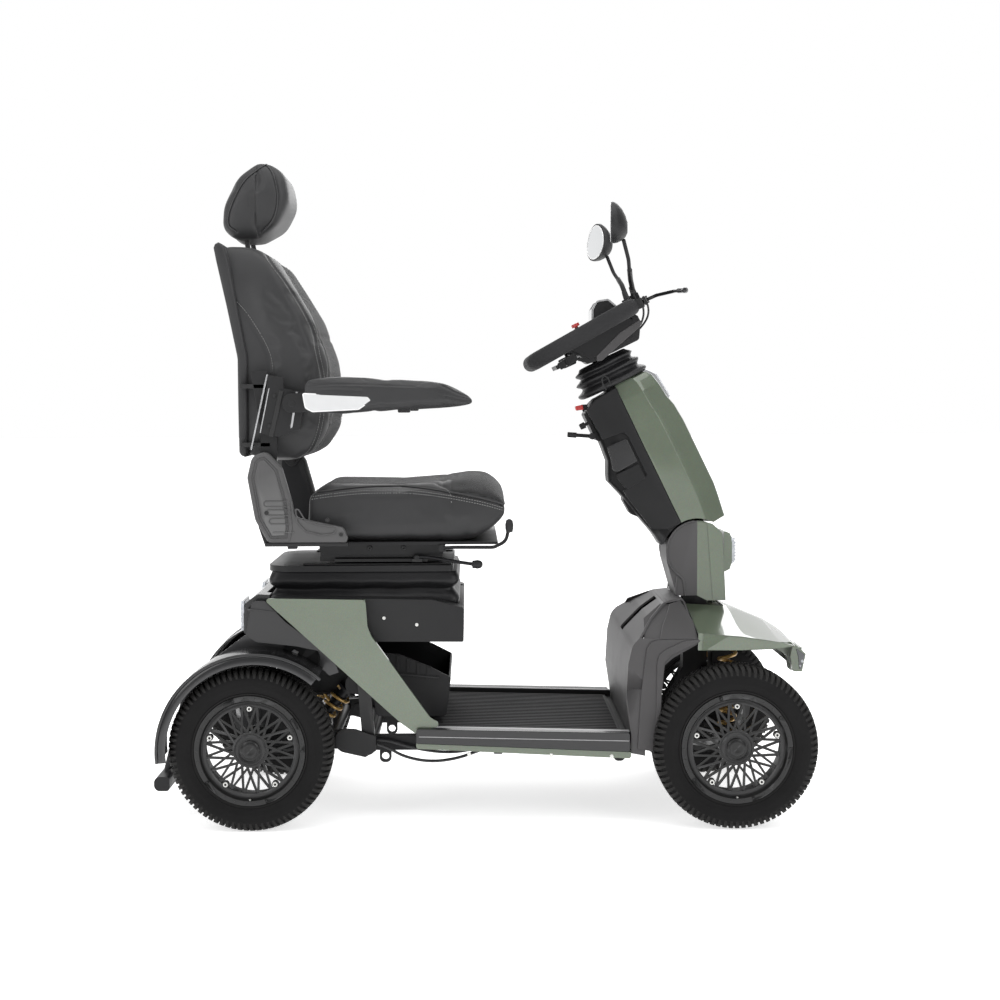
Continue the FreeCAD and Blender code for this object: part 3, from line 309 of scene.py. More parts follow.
RIM = material("rim_black", (0.008, 0.008, 0.008), 0.34, tone=0.2, coat=0.25, coat_rough=0.2,
               wear=(0.035, 0.035, 0.036), grain=0.02, spec=0.22)
ZINC = material("zinc_bolt", (0.60, 0.60, 0.58), 0.33, tone=0.15, tone_scale=120.0, metal=1.0, grain=0.02)
GOLD = material("spring_gold", (0.46, 0.285, 0.085), 0.33, tone=0.14, tone_scale=30.0, metal=0.55, coat=0.4,
                grain=0.02, wear=(0.75, 0.55, 0.25))
VINYL = material("vinyl_charcoal", (0.025, 0.025, 0.026), 0.50, tone=0.14, tone_scale=7.0, grain=0.09,
                 grain_scale=850.0, cells=True, sheen=0.05, spec=0.32)
WOVEN = material("fabric_woven", (0.030, 0.030, 0.031), 0.85, tone=0.15, grain=0.10, grain_scale=1800.0,
                 weave=330.0, sheen=0.25, spec=0.2)
PIPING = material("piping", (0.022, 0.022, 0.023), 0.5, tone=0.15, grain=0.05, sheen=0.1)
THREAD = material("thread_light", (0.26, 0.26, 0.255), 0.7, tone=0.15, tone_scale=200.0, grain=0.05,
                  sheen=0.2)
FOAM = material("foam_grip", (0.020, 0.020, 0.021), 0.78, tone=0.15, grain=0.22, grain_scale=1500.0,
                spec=0.25)
BELLOWS = material("rubber_bellows", (0.011, 0.011, 0.012), 0.42, tone=0.22, grain=0.05, spec=0.28,
                   wear=(0.04, 0.04, 0.041))
SILVER = material("silver_insert", (0.62, 0.625, 0.63), 0.30, tone=0.05, metal=0.25, grain=0.01, coat=0.5)
WHITE_RIM = material("white_rim", (0.80, 0.80, 0.80), 0.35, tone=0.04, grain=0.01, coat=0.4)
CHROME = material("chrome", (0.72, 0.73, 0.75), 0.10, tone=0.10, tone_scale=60.0, metal=1.0,
                  rough_spread=0.05, grain=0.01)
MIRROR = material("mirror_glass", (0.78, 0.79, 0.80), 0.06, tone=0.03, metal=1.0, rough_spread=0.02,
                  grain=0.002)
LENS = material("lens_clear", (0.80, 0.83, 0.88), 0.12, tone=0.06, tone_scale=90.0, grain=0.25,
                grain_scale=260.0, clear=0.55, coat=0.5)
RED = material("plastic_red", (0.42, 0.025, 0.022), 0.32, tone=0.12, coat=0.5, grain=0.02)
CAST = material("cast_motor", (0.05, 0.05, 0.052), 0.5, tone=0.25, metal=0.5, grain=0.12, grain_scale=500.0,
                wear=(0.12, 0.12, 0.12))
CABLE = material("cable_sheath", (0.014, 0.014, 0.015), 0.45, tone=0.2, grain=0.03)
SCREEN = material("display_dark", (0.012, 0.016, 0.022), 0.12, tone=0.3, coat=1.0, grain=0.005)


# ------------------------------------------------------------------ pieces
def put(name, mesh, mats, body=None):
    obj = bpy.data.objects.new(name, mesh)
    bpy.context.scene.collection.objects.link(obj)
    mesh.materials.clear()
    for mat in mats if isinstance(mats, (list, tuple)) else [mats]:
        mesh.materials.append(mat)
    if body:
        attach(obj, body)
    return obj


def to_mesh(name, shape):
    mesh = bpy.data.meshes.new(name)
    mesh.from_pydata([(x * MM, y * MM, z * MM) for x, y, z in shape.verts], [], shape.faces)
    mesh.polygons.foreach_set("material_index", shape.slots)
    bm = bmesh.new()
    bm.from_mesh(mesh)
    bmesh.ops.recalc_face_normals(bm, faces=bm.faces)
    bm.to_mesh(mesh)
    bm.free()
    return mesh


def finish_edges(obj, bevel, segments=2, angle=32.0):
    mesh = obj.data
    mesh.polygons.foreach_set("use_smooth", [True] * len(mesh.polygons))
    if bevel:
        cut = obj.modifiers.new("edge", "BEVEL")
        cut.width, cut.segments = bevel * MM, segments
        cut.limit_method, cut.angle_limit = "ANGLE", radians(angle)
        cut.miter_outer = "MITER_ARC"
        cut.use_clamp_overlap = True
        flat = obj.modifiers.new("normals", "WEIGHTED_NORMAL")
        flat.keep_sharp = True
    else:
        mesh.set_sharp_from_angle(angle=radians(angle))


def piece(name, shape, mats, body, bevel=0.8, segments=2, angle=32.0):
    obj = put(name, to_mesh(name, shape), mats, body)
    finish_edges(obj, bevel, segments, angle)
    return obj


def dress(node, mat, bevel=0.8, segments=2):
    """Gives a CAD node its finish and soft edges."""
    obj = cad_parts[node]
    mesh = obj.data
    if "custom_normal" in mesh.attributes:
        mesh.attributes.remove(mesh.attributes["custom_normal"])
    if "sharp_edge" in mesh.attributes:
        mesh.attributes.remove(mesh.attributes["sharp_edge"])
    mesh.materials.clear()
    mesh.materials.append(mat)
    weld = obj.modifiers.new("weld", "WELD")
    weld.merge_threshold = 1e-5
    plane = obj.modifiers.new("planes", "DECIMATE")
    plane.decimate_type, plane.angle_limit = "DISSOLVE", radians(0.6)
    finish_edges(obj, bevel, segments)
    return obj


# ------------------------------------------------------------------ carried-over frame nodes
for node, mat, bevel in (
        ("chassis_frame", STEEL_BLACK, 1.0), ("deck_pan", PLASTIC, 1.2), ("floor_mat", RUBBER, 0.8),
        ("side_rails", GLOSS, 1.5), ("side_panels", GREEN, 1.0), ("tail_cowl", GLOSS, 1.6),
        ("body_lamps", LENS, 0.8), ("battery_cover", PLASTIC, 1.2),
        ("storage_bin", PLASTIC, 1.4), ("battery_pack", PLASTIC, 1.5), ("front_shroud", SHROUD, 1.4),
        ("front_hood", GREEN, 1.2), ("rear_swing_arm", STEEL_BLACK, 1.0), ("drive_motor", CAST, 1.6),
        ("rear_shock_bodies", STEEL_BLACK, 0.6), ("rear_shock_rods", STEEL, 0.5), ("rear_springs", GOLD, 0),
        ("front_arm_right", STEEL_BLACK, 1.0), ("front_arm_left", STEEL_BLACK, 1.0),
        ("front_knuckle_right", STEEL_BLACK, 0.8), ("front_knuckle_left", STEEL_BLACK, 0.8),
        ("front_spring_right", GOLD, 0), ("front_spring_left", GOLD, 0),
        ("tiller_cover_front", GREEN, 1.4), ("tiller_cover_rear", SHROUD, 1.4),
        ("tiller_column", STEEL_BLACK, 0.8), ("headlight", LENS, 1.0), ("tilt_lever", PLASTIC, 0.8),
        ("console_head", PLASTIC, 1.4), ("throttle_paddle", PLASTIC, 1.0), ("brake_lever", GLOSS, 0.6),
        ("seat_top_plate", STEEL_BLACK, 0.8), ("swivel_turret", STEEL_BLACK, 0.8),
        ("swivel_lever", STEEL_BLACK, 0.6), ("seat_pan", STEEL_BLACK, 0.8), ("seat_side_covers", COVER, 3.0),
        ("slide_lever", STEEL_BLACK, 0.6), ("handlebar_loop", FOAM, 0.6)):
    dress(node, mat, bevel)
for end in ("rear", "front"):
    for side in ("right", "left"):
        dress("rim_%s_%s" % (end, side), RIM, 0.7)


# ------------------------------------------------------------------ wheels, about the origin, outer side -Y
def tyre_shape():
    half = [(126, -43), (129, -48), (133, -49.5), (134, -48.2), (136, -50), (146, -53.2), (150, -54.6),
            (152, -54.2), (160, -54.8), (166, -54), (168, -53), (172, -51), (178, -46), (182, -37),
            (184, -25), (184.6, -6)]
    shape = Shape().lathe(half + [(r, -y) for r, y in reversed(half)], axis="y", segments=112, closed=True)

    def block(path, turn, width, skew=0.0, depth=6.0):
        """A tread block along (radius, y) points, `width` degrees wide."""
        rings = []
        for i, (r, y) in enumerate(path):
            share = i / (len(path) - 1)
            mid, wide = turn + skew * share, width * (0.55 + 0.45 * min(1, share * 2.2)) / 2
            ring = []
            for angle, radius in ((mid - wide, r), (mid + wide, r), (mid + wide * 1.1, r - depth),
                                  (mid - wide * 1.1, r - depth)):
                a = radians(angle)
                ring.append((radius * cos(a), y, radius * sin(a)))
            rings.append(ring)
        shape.rings(rings)

    shoulder = [(172.5, -52.6), (178.5, -50.2), (184.2, -45), (188, -38), (189.7, -28), (189.9, -18)]
    count = 80
    for k in range(count):
        turn = 360.0 * k / count
        block(shoulder, turn, 2.9, 1.4)
        block([(r, -y) for r, y in shoulder], turn + 2.2, 2.9, 1.4)
        block([(189.9, -13.5), (190, -8), (190, -1.5)], turn + 1.2, 3.2, -2.0)
        block([(190, 1.5), (190, 8), (189.9, 13.5)], turn + 3.4, 3.2, -2.0)
    return shape


tyre_mesh = to_mesh("tyre", tyre_shape())
tyre_mesh.polygons.foreach_set("use_smooth", [True] * len(tyre_mesh.polygons))
tyre_mesh.set_sharp_from_angle(angle=radians(38))

wheel_detail = Shape()
for k in range(30):
    a = 2 * pi * k / 30
    wheel_detail.lathe([(1.9, -50), (1.8, -51), (0.9, -51.5), (0, -51.6)],
                       (121.5 * cos(a), 0, 121.5 * sin(a)), segments=8)
wheel_detail.lathe([(101, -40.2), (104, -42.5), (109, -42.5), (112, -40.5)], segments=96, closed=True)
wheel_detail.lathe([(27, -38), (27, -41), (30, -42.5), (33, -42.5), (36, -40), (36, -38)], segments=48,
                   closed=True)
wheel_detail.lathe([(0, -47.6), (9, -47.4), (13, -48.6), (16.5, -47.6), (18, -45)], segments=40)
wheel_bolts = Shape()
for k in range(5):
    a = pi / 2 + 2 * pi * k / 5
    centre = (97 * cos(a), 0, 97 * sin(a))
    wheel_bolts.lathe([(6.4, -40.2), (6.4, -44.6), (5.4, -46), (3.1, -46), (3.0, -43), (0, -43)], centre,
                      segments=18)
wheel_bolts.rod((0, -41, -115), (0, -54, -112), 2.4, 10, 2.0)
detail_mesh, bolt_mesh = to_mesh("wheel_detail", wheel_detail), to_mesh("wheel_bolts", wheel_bolts)
for mesh in (detail_mesh, bolt_mesh):
    mesh.polygons.foreach_set("use_smooth", [True] * len(mesh.polygons))
    mesh.set_sharp_from_angle(angle=radians(35))
for end, x in (("rear", REAR_X), ("front", FRONT_X)):
    for side, sign in (("right", 1), ("left", -1)):
        body = "wheel_%s_%s" % (end, side)
        place = Matrix.Translation((x * MM, -sign * TRACK_Y * MM, AXLE_Z * MM))
        if sign < 0:
            place = place @ Matrix.Rotation(pi, 4, "Z")
        for name, mesh, mat, slot in (("tread", tyre_mesh, TYRE, "tyre_rubber"),
                                      ("trim", detail_mesh, RIM, "rim_black"),
                                      ("bolts", bolt_mesh, ZINC, "bright_steel")):
            if not mesh.materials:
                mesh.materials.append(mat)
            obj = bpy.data.objects.new("%s_%s_%s" % (name, end, side), mesh)
            bpy.context.scene.collection.objects.link(obj)
            obj.matrix_world = place
            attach(obj, body)
            if name == "tread":
                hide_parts("tyre_%s_%s" % (end, side))


# ------------------------------------------------------------------ soft goods
def verts_of(mesh):
    co = np.empty(len(mesh.vertices) * 3)
    mesh.vertices.foreach_get("co", co)
    return co.reshape(-1, 3)


def set_verts(mesh, co):
    mesh.vertices.foreach_set("co", np.ascontiguousarray(co).ravel())
    mesh.update()


def applied(obj):
    """The object's mesh with its modifiers carried out."""
    depsgraph = bpy.context.evaluated_depsgraph_get()
    mesh = bpy.data.meshes.new_from_object(obj.evaluated_get(depsgraph))
    obj.modifiers.clear()
    obj.data = mesh
    return mesh


def soft(name, shape, form=None, round_edge=14.0, voxel=6.0, cap=8.0, pressure=4.0, stiffness=12.0):
    """A padded piece: outline rounded, remeshed, swollen by a short cloth simulation, subdivided."""
    obj = put(name, to_mesh(name, shape), VINYL)
    cut = obj.modifiers.new("edge", "BEVEL")
    cut.width, cut.segments, cut.limit_method, cut.angle_limit = round_edge * MM, 4, "ANGLE", radians(50)
    grid = obj.modifiers.new("grid", "REMESH")
    grid.mode, grid.voxel_size = "VOXEL", voxel * MM
    even = obj.modifiers.new("even", "SMOOTH")
    even.factor, even.iterations = 0.5, 6
    mesh = applied(obj)
    rest = verts_of(mesh)
    if form:
        rest = form(rest)
        set_verts(mesh, rest)
    cloth = obj.modifiers.new("cloth", "CLOTH")
    cloth.settings.quality = 4
    cloth.settings.use_pressure = True
    cloth.settings.uniform_pressure_force = pressure
    cloth.settings.effector_weights.gravity = 0.0
    cloth.settings.tension_stiffness = stiffness
    cloth.settings.compression_stiffness = stiffness
    cloth.point_cache.frame_start, cloth.point_cache.frame_end = 1, 20
    for count in range(1, 21):
        bpy.context.scene.frame_set(count)
    mesh = applied(obj)
    moved = verts_of(mesh)
    shift = moved - rest
    length = np.linalg.norm(shift, axis=1, keepdims=True)
    shift *= np.minimum(1.0, cap * MM / np.maximum(length, 1e-9))
    set_verts(mesh, rest + shift)
    bpy.context.scene.frame_set(1)
    sub = obj.modifiers.new("sub", "SUBSURF")
    sub.levels = sub.render_levels = 1
    mesh = applied(obj)
    mesh.polygons.foreach_set("use_smooth", [True] * len(mesh.polygons))
    mesh.materials.clear()
    mesh.materials.append(VINYL)
    mesh.materials.append(WOVEN)
    return obj


def tree_of(obj):
    mesh = obj.data
    return BVHTree.FromPolygons([v.co for v in mesh.vertices], [tuple(p.vertices) for p in mesh.polygons])


def on_surface(tree, points, origin, towards, step=3.0):
    """Points of a flat path carried onto a surface; origin(u, v) is where a ray starts, in millimetres."""
    hits = []
    for u, v in [(p.x, p.y) for p in smooth_path([Vector((a, b, 0)) for a, b in points], step)]:
        hit = tree.ray_cast(Vector(origin(u, v)) * MM, Vector(towards))
        if hit[0] is not None:
            hits.append((hit[0], hit[1]))
    return hits


def side_path(tree, points, sign, step=3.0):
    """A path in x and z on the surface seen from the right (-1) or the left (1)."""
    return on_surface(tree, points, lambda u, v: (u, sign * 900, v), (0, -sign, 0), step)


def from_above(tree, points):
    """Points (x, y) dropped onto a surface."""
    return on_surface(tree, points, lambda u, v: (u, v, 900), (0, 0, -1))


def from_front(tree, points, start=300):
    """Points (y, z) pushed back onto a surface from x = start."""
    return on_surface(tree, points, lambda u, v: (start, u, v), (-1, 0, 0))


def press(obj, hits, width, depth):
    """Pushes the surface in along a line, as a seam does."""
    if not hits:
        return
    mesh = obj.data
    co = verts_of(mesh)
    normals = np.empty(len(mesh.vertices) * 3)
    mesh.vertices.foreach_get("normal", normals)
    normals = normals.reshape(-1, 3)
    line = np.array([tuple(p) for p, n in hits])
    low, high = line.min(0) - width * 3 * MM, line.max(0) + width * 3 * MM
    near = np.where(((co > low) & (co < high)).all(1))[0]
    best = np.full(len(near), 1e9)
    for p in line:
        best = np.minimum(best, ((co[near] - p) ** 2).sum(1))
    fall = np.exp(-best / (width * MM) ** 2)
    co[near] -= normals[near] * (fall * depth * MM)[:, None]
    set_verts(mesh, co)


def stitches(shape, hits, pitch=5.6, length=3.8, radius=0.55, lift=0.2):
    """Thread lying on a surface along a line."""
    gone = 0.0
    for (a, na), (b, nb) in zip(hits, hits[1:]):
        gap = (b - a).length / MM
        if gap < 1e-6 or gap > 20:
            continue
        gone += gap
        if gone >= pitch:
            gone = 0.0
            run, middle = (b - a).normalized() * length / 2, b / MM + nb * lift
            ends = [middle - run, middle - run * 0.5, middle + run * 0.5, middle + run]
            shape.tube(ends, [radius * 0.4, radius, radius, radius * 0.4], 6)


def welt(shape, hits, radius=2.2, sink=0.6):
    """Piping along a line on a surface."""
    line = [h[0] / MM - h[1] * sink for h in hits]
    if len(line) > 3:
        shape.tube(line[::2] + [line[-1]], radius, 8)


def weave_where(obj, test):
    """The woven finish on faces whose middle (millimetres) and normal pass the test."""
    for face in obj.data.polygons:
        if test(face.center / MM, face.normal):
            face.material_index = 1


def trim(name, shape, mat, body, bevel=0.0):
    return piece(name, shape, mat, body, bevel)


# seat cushion
def seat_form(co):
    side = np.abs(co[:, 1]) / (254 * MM)
    high = np.clip((co[:, 2] / MM - 700) / 100, 0, 1)
    ahead = np.clip((co[:, 0] / MM + 100) / 160, 0, 1)
    co[:, 2] -= high * side ** 3.2 * (15 + 22 * ahead) * MM
    dish = np.exp(-(co[:, 1] / 0.15) ** 2 - ((co[:, 0] + 0.2) / 0.16) ** 2)
    co[:, 2] -= high * dish * 10 * MM
    low = np.clip((700 - co[:, 2] / MM) / 60, 0, 1)
    co[:, 1] *= 1 - 0.05 * low
    return co


seat_side = [(-410, 706, 30), (-406, 780, 14), (-370, 792, 40), (-186, 791), (-93, 797, 60), (-23, 807, 30),
             (40, 803, 18), (64, 779, 20), (64, 732, 34), (40, 697, 34), (-4, 676, 30), (-60, 667),
             (-398, 667, 10)]
seat = soft("seat_cushion_soft", Shape().prism("xz", seat_side, -244, 244), seat_form, 20.0, 7.0, 9.0)
tree = tree_of(seat)
seat_seam = [(-398, 776), (-348, 783), (-278, 789), (-200, 790), (-150, 788), (-100, 782), (-47, 773),
             (10, 761), (55, 748)]
below = [(x, z - 9) for x, z in seat_seam]
thread, cord_line = Shape(), Shape()
for sign in (-1, 1):
    seam, row = side_path(tree, seat_seam, sign), side_path(tree, below, sign)
    second = side_path(tree, [(x, z - 15) for x, z in seat_seam], sign)
    press(seat, seam, 5, 3.0)
    welt(cord_line, seam, 2.0)
    stitches(thread, row)
    stitches(thread, second)
    insert = [(-62, sign * 236), (-92, sign * 205), (-135, sign * 170), (-250, sign * 160),
              (-380, sign * 165)]
    over = from_above(tree, insert)
    press(seat, over, 5, 2.6)
    stitches(thread, from_above(tree, [(x, y + sign * 8) for x, y in insert]))
front_seam = from_front(tree, [(-236, 748), (-120, 752), (0, 753), (120, 752), (236, 748)], 900)
press(seat, front_seam, 5, 3.0)
welt(cord_line, front_seam, 2.0)
cross = from_above(tree, [(-95, -200), (-72, -100), (-64, 0), (-72, 100), (-95, 200)])
press(seat, cross, 6, 3.5)


def seat_woven(c, n):
    if c.z < 752 or n.z < -0.1:
        return False
    rear = c.x < -70 and abs(c.y) < 162
    ahead = c.x >= -70 and abs(c.y) < 240 and c.z > 758 - 0.15 * c.x
    return (rear or ahead) and (n.z > 0.2 or c.x > 0)


weave_where(seat, seat_woven)
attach(seat, "seat")
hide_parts("seat_cushion")
trim("seat_piping", cord_line, PIPING, "seat")
trim("seat_stitching", thread, THREAD, "seat")


# backrest cushion
def back_form(co):
    """Bolsters at the sides, a hollow between them, and edges drawn in towards the rear shell."""
    x, y, z = co[:, 0] / MM, co[:, 1] / MM, co[:, 2] / MM
    centre = np.interp(z, [842, 915, 993, 1090, 1191, 1326, 1360], [-470, -430, -410, -420, -455, -530, -570])
    ahead = np.clip((x - centre) / 60, 0, 1)
    side = np.abs(y) / 236
    co[:, 0] -= ahead * (side ** 4 * 26 + np.exp(-(y / 110) ** 2) * 22) * MM
    top = np.clip((z - 1250) / 110, 0, 1)
    co[:, 1] *= 1 - 0.16 * top ** 2
    low = np.clip((900 - z) / 60, 0, 1)
    co[:, 1] *= 1 - 0.08 * low ** 2
    return co


back_side = [(-558, 975), (-558, 1091), (-582, 1212), (-604, 1313), (-610, 1345), (-597, 1356, 14),
             (-525, 1350, 28), (-474, 1320, 40), (-392, 1188, 120), (-357, 1088, 120), (-344, 993, 120),
             (-352, 919, 60), (-382, 868, 30), (-424, 850, 12), (-542, 857, 20), (-556, 875)]
back = soft("backrest_soft", Shape().prism("xz", back_side, -228, 228), back_form, 24.0, 7.0, 7.0)
tree = tree_of(back)
double = [(-508, 1338), (-480, 1300), (-449, 1256), (-403, 1176), (-385, 1109), (-374, 1050), (-372, 993),
          (-378, 930), (-398, 880), (-425, 858)]
single = [(-596, 1262), (-580, 1234), (-547, 1197), (-513, 1144), (-492, 1098), (-484, 1040), (-484, 985),
          (-488, 920)]
inner = [(x + 22, z + 1) for x, z in double]
thread, cord_line = Shape(), Shape()
for sign in (-1, 1):
    a = side_path(tree, double, sign)
    stitches(thread, a)
    stitches(thread, side_path(tree, [(x + 8, z + 1) for x, z in double], sign))
    press(back, side_path(tree, [(x + 4, z + 1) for x, z in double], sign), 5, 2.4)
    press(back, side_path(tree, inner[1:-2], sign), 5, 2.2)
    b = side_path(tree, single, sign)
    press(back, b, 6, 2.6)
    stitches(thread, [(p + Vector((0.005, 0, 0)), n) for p, n in b])
    panel = [(sign * 165, 880), (sign * 172, 960), (sign * 168, 1060), (sign * 155, 1170), (sign * 140, 1270),
             (sign * 118, 1330)]
    front = from_front(tree, panel)
    press(back, front, 6, 3.5)
    stitches(thread, from_front(tree, [(y + sign * 9, z) for y, z in panel]))
for z in (950, 1050, 1150, 1250):
    half = np.interp(z, [880, 960, 1060, 1170, 1330], [163, 170, 166, 153, 118])
    press(back, from_front(tree, [(-half, z - 6), (0, z + 4), (half, z - 6)]), 6, 3.0)


def back_woven(c, n):
    return n.x > 0.35 and abs(c.y) < np.interp(c.z, [880, 960, 1060, 1170, 1330], [163, 170, 166, 153, 118])


weave_where(back, back_woven)
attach(back, "backrest")
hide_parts("backrest_cushion")
trim("backrest_stitching", thread, THREAD, "backrest")


# headrest
def head_form(co):
    x, y, z = co[:, 0] / MM, co[:, 1] / MM, co[:, 2] / MM
    co[:, 1] *= 1 - 0.10 * (np.abs(z - 1474) / 103) ** 2
    co[:, 0] += np.clip((np.abs(y) - 60) / 65, 0, 1) ** 2 * 6 * MM * np.where(x > -530, -1, 1)
    return co


head_side = [(-516, 1569, 50), (-463, 1535, 50), (-450, 1470, 70), (-480, 1410, 60), (-532, 1379, 50),
             (-590, 1379, 30), (-616, 1402, 30), (-610, 1457, 90), (-576, 1526, 70)]
head = soft("headrest_soft", Shape().prism("xz", head_side, -116, 116), head_form, 24.0, 5.0, 7.0)
tree = tree_of(head)
thread, cord_line = Shape(), Shape()
for sign in (-1, 1):
    seam = side_path(tree, [(-512, 1561), (-489, 1530), (-478, 1474), (-490, 1424), (-520, 1392)], sign, 2.0)
    press(head, seam, 4, 2.5)
    welt(cord_line, seam, 1.8)
    rear = side_path(tree, [(-505, 1558), (-558, 1514), (-592, 1450), (-598, 1412), (-580, 1395)], sign, 2.0)
    press(head, rear, 4, 2.8)
    welt(cord_line, rear, 1.6)
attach(head, "headrest")
trim("headrest_piping", cord_line, PIPING, "headrest")
posts = Shape()
for y in (-60, 60):
    posts.rod((-533, y, 1245), (-566, y, 1400), 6.0, 20)
posts = trim("headrest_posts", posts, STEEL_BLACK, "headrest")
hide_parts("headrest")

# armrests
arm_side = [(-400, 1024, 8), (-392, 1039, 14), (-341, 1044), (-182, 1036), (-82, 1030, 30), (-28, 1002, 14),
            (-16, 990, 6), (-19, 983, 4), (-36, 979, 10), (-137, 973), (-297, 964), (-366, 965, 20),
            (-396, 972, 12)]
for name, sign in (("right", -1), ("left", 1)):
    shape = Shape().prism("xz", arm_side, min(sign * 276, sign * 325), max(sign * 276, sign * 325))
    arm = soft("armrest_soft_" + name, shape, None, 9.0, 4.0, 5.0)
    tree = tree_of(arm)
    grooves = [[(-394, 1024), (-340, 1028), (-260, 1027), (-150, 1022)],
               [(-396, 1012), (-340, 1015), (-270, 1013)], [(-90, 1026), (-50, 1006), (-18, 996)],
               [(-80, 1000), (-45, 992), (-18, 989)]]
    for line in grooves:
        press(arm, side_path(tree, line, sign, 2.0), 2.6, 2.0)
    for face in arm.data.polygons:
        face.material_index = 0
    body = "armrest_" + name
    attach(arm, body)
    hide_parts("armrest_" + name)
    insert = Shape()
    low, high = 322, 331.5
    insert.prism("xz", [(-402, 1007, 4), (-255, 1000, 4), (-247, 991, 3), (-277, 972, 5), (-380, 967, 8),
                        (-396, 976, 10)],
                 *span(sign, low, high - 1.4))
    rim = Shape()
    outer = [(-404, 1009, 4), (-254, 1002, 5), (-244, 991, 3), (-276, 970, 6), (-381, 965, 8),
             (-398, 974, 10)]
    rim.prism("xz", outer, *span(sign, low, high - 2.6))
    piece("armrest_insert_" + name, insert, SILVER, body, 1.2)
    piece("armrest_insert_rim_" + name, rim, WHITE_RIM, body, 0.8)
    under = Shape().prism("xz", [(-188, 975), (-188, 963, 3), (-160, 963, 3), (-160, 975)],
                          *span(sign, 285, 315))
    under.prism("xz", [(-454, 963, 20), (-454, 1007, 20), (-396, 1010), (-396, 965)],
                *span(sign, 271.5, 283.5))
    piece("armrest_fixings_" + name, under, PLASTIC, body, 1.5)


# ------------------------------------------------------------------ relief on panels
def cad_tree(node):
    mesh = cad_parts[node].data
    return BVHTree.FromPolygons([v.co for v in mesh.vertices], [tuple(p.vertices) for p in mesh.polygons])


def patch(shape, tree, points, sign, lift, sink=1.5, fallback=None, arc=5):
    """A raised plate following a side surface: its outline (x, z) is carried onto it and thickened."""
    outline = rounded(points, arc)
    ring = []
    for x, z in outline:
        hit = tree.ray_cast(Vector((x * MM, sign * 0.9, z * MM)), Vector((0, -sign, 0)))
        y = hit[0].y / MM if hit[0] is not None else sign * (fallback or 0)
        if fallback and abs(abs(y) - fallback) > 26:
            y = sign * fallback
        ring.append((x, y, z))
    shape.rings([[(x, y - sign * sink, z) for x, y, z in ring],
                 [(x, y + sign * lift, z) for x, y, z in ring]])
    return shape


def resample(ring, number):
    pts = [Vector(p) for p in ring] + [Vector(ring[0])]
    length = [0.0]
    for a, b in zip(pts, pts[1:]):
        length.append(length[-1] + (b - a).length)
    out, i = [], 0
    for k in range(number):
        want = length[-1] * k / number
        while length[i + 1] < want:
            i += 1
        share = (want - length[i]) / max(1e-9, length[i + 1] - length[i])
        out.append(tuple(pts[i].lerp(pts[i + 1], share)))
    return out


def band(shape, plane, outer, inner, low, high, arc=6):
    """A flat ring between two outlines with the same corners."""
    place = PLACES[plane]
    a, b = rounded(outer, arc), rounded(inner, arc)
    if len(a) != len(b):
        a, b = resample(a, 96), resample(b, 96)
    return shape.rings([[place(u, v, low) for u, v in a], [place(u, v, high) for u, v in a],
                        [place(u, v, high) for u, v in b], [place(u, v, low) for u, v in b]], closed=True)


def inset(points, by):
    """An outline drawn in by a distance, corner by corner."""
    out, count = [], len(points)
    area = sum(points[i - 1][0] * points[i][1] - points[i][0] * points[i - 1][1] for i in range(count))
    turn = 1 if area > 0 else -1
    for i, p in enumerate(points):
        here = Vector(p[:2])
        a = (here - Vector(points[i - 1][:2])).normalized()
        b = (Vector(points[(i + 1) % count][:2]) - here).normalized()
        na, nb = Vector((-a.y, a.x)) * turn, Vector((-b.y, b.x)) * turn
        q = here + (na + nb) * by / max(0.35, 1 + na.dot(nb))
        out.append((q.x, q.y) + ((max(0.5, p[2] - by),) if len(p) > 2 else ()))
    return out


def dense(points, step=6.0):
    out = []
    for a, b in zip(points, points[1:] + points[:1]):
        a, b = Vector(a), Vector(b)
        count = max(1, int((b - a).length / step))
        out += [tuple(a + (b - a) * k / count) for k in range(count)]
    return out


# front bodywork
shroud_tree, hood_tree = cad_tree("front_shroud"), cad_tree("front_hood")
flank_low = [(436, 437.5), (412, 437.5), (392, 432, 8), (381, 418, 12), (368, 312), (360, 182, 4),
             (405, 176, 4), (410, 312), (417, 385, 16), (434, 402, 12), (474, 421), (504, 434), (500, 437.5)]
flank_high = [(500, 438.5), (412, 438.5), (424, 462), (437, 478), (452, 500), (480, 506), (498, 470)]
arch_band = [(403, 180, 3), (410, 176), (416, 312), (423, 385, 14), (437, 400, 10), (477, 419), (506, 434),
             (495, 437), (464, 433), (424, 414), (409, 402, 6), (404, 384, 12), (403, 312)]
flank, lip = Shape(), Shape()
for sign in (-1, 1):
    patch(flank, shroud_tree, flank_low, sign, 4.0, fallback=295)
    patch(lip, shroud_tree, arch_band, sign, 7.5, fallback=295)
    upper = rounded(flank_high, 4)
    ring = [(x, sign * shroud_side(z), z) for x, z in upper]
    flank.rings([[(x, y - sign * 3, z) for x, y, z in ring], [(x, y + sign * 4, z) for x, y, z in ring]])
piece("shroud_flank", flank, SHROUD, "chassis", 2.2, 3)
piece("shroud_arch_lip", lip, SHROUD, "chassis", 2.0, 3)

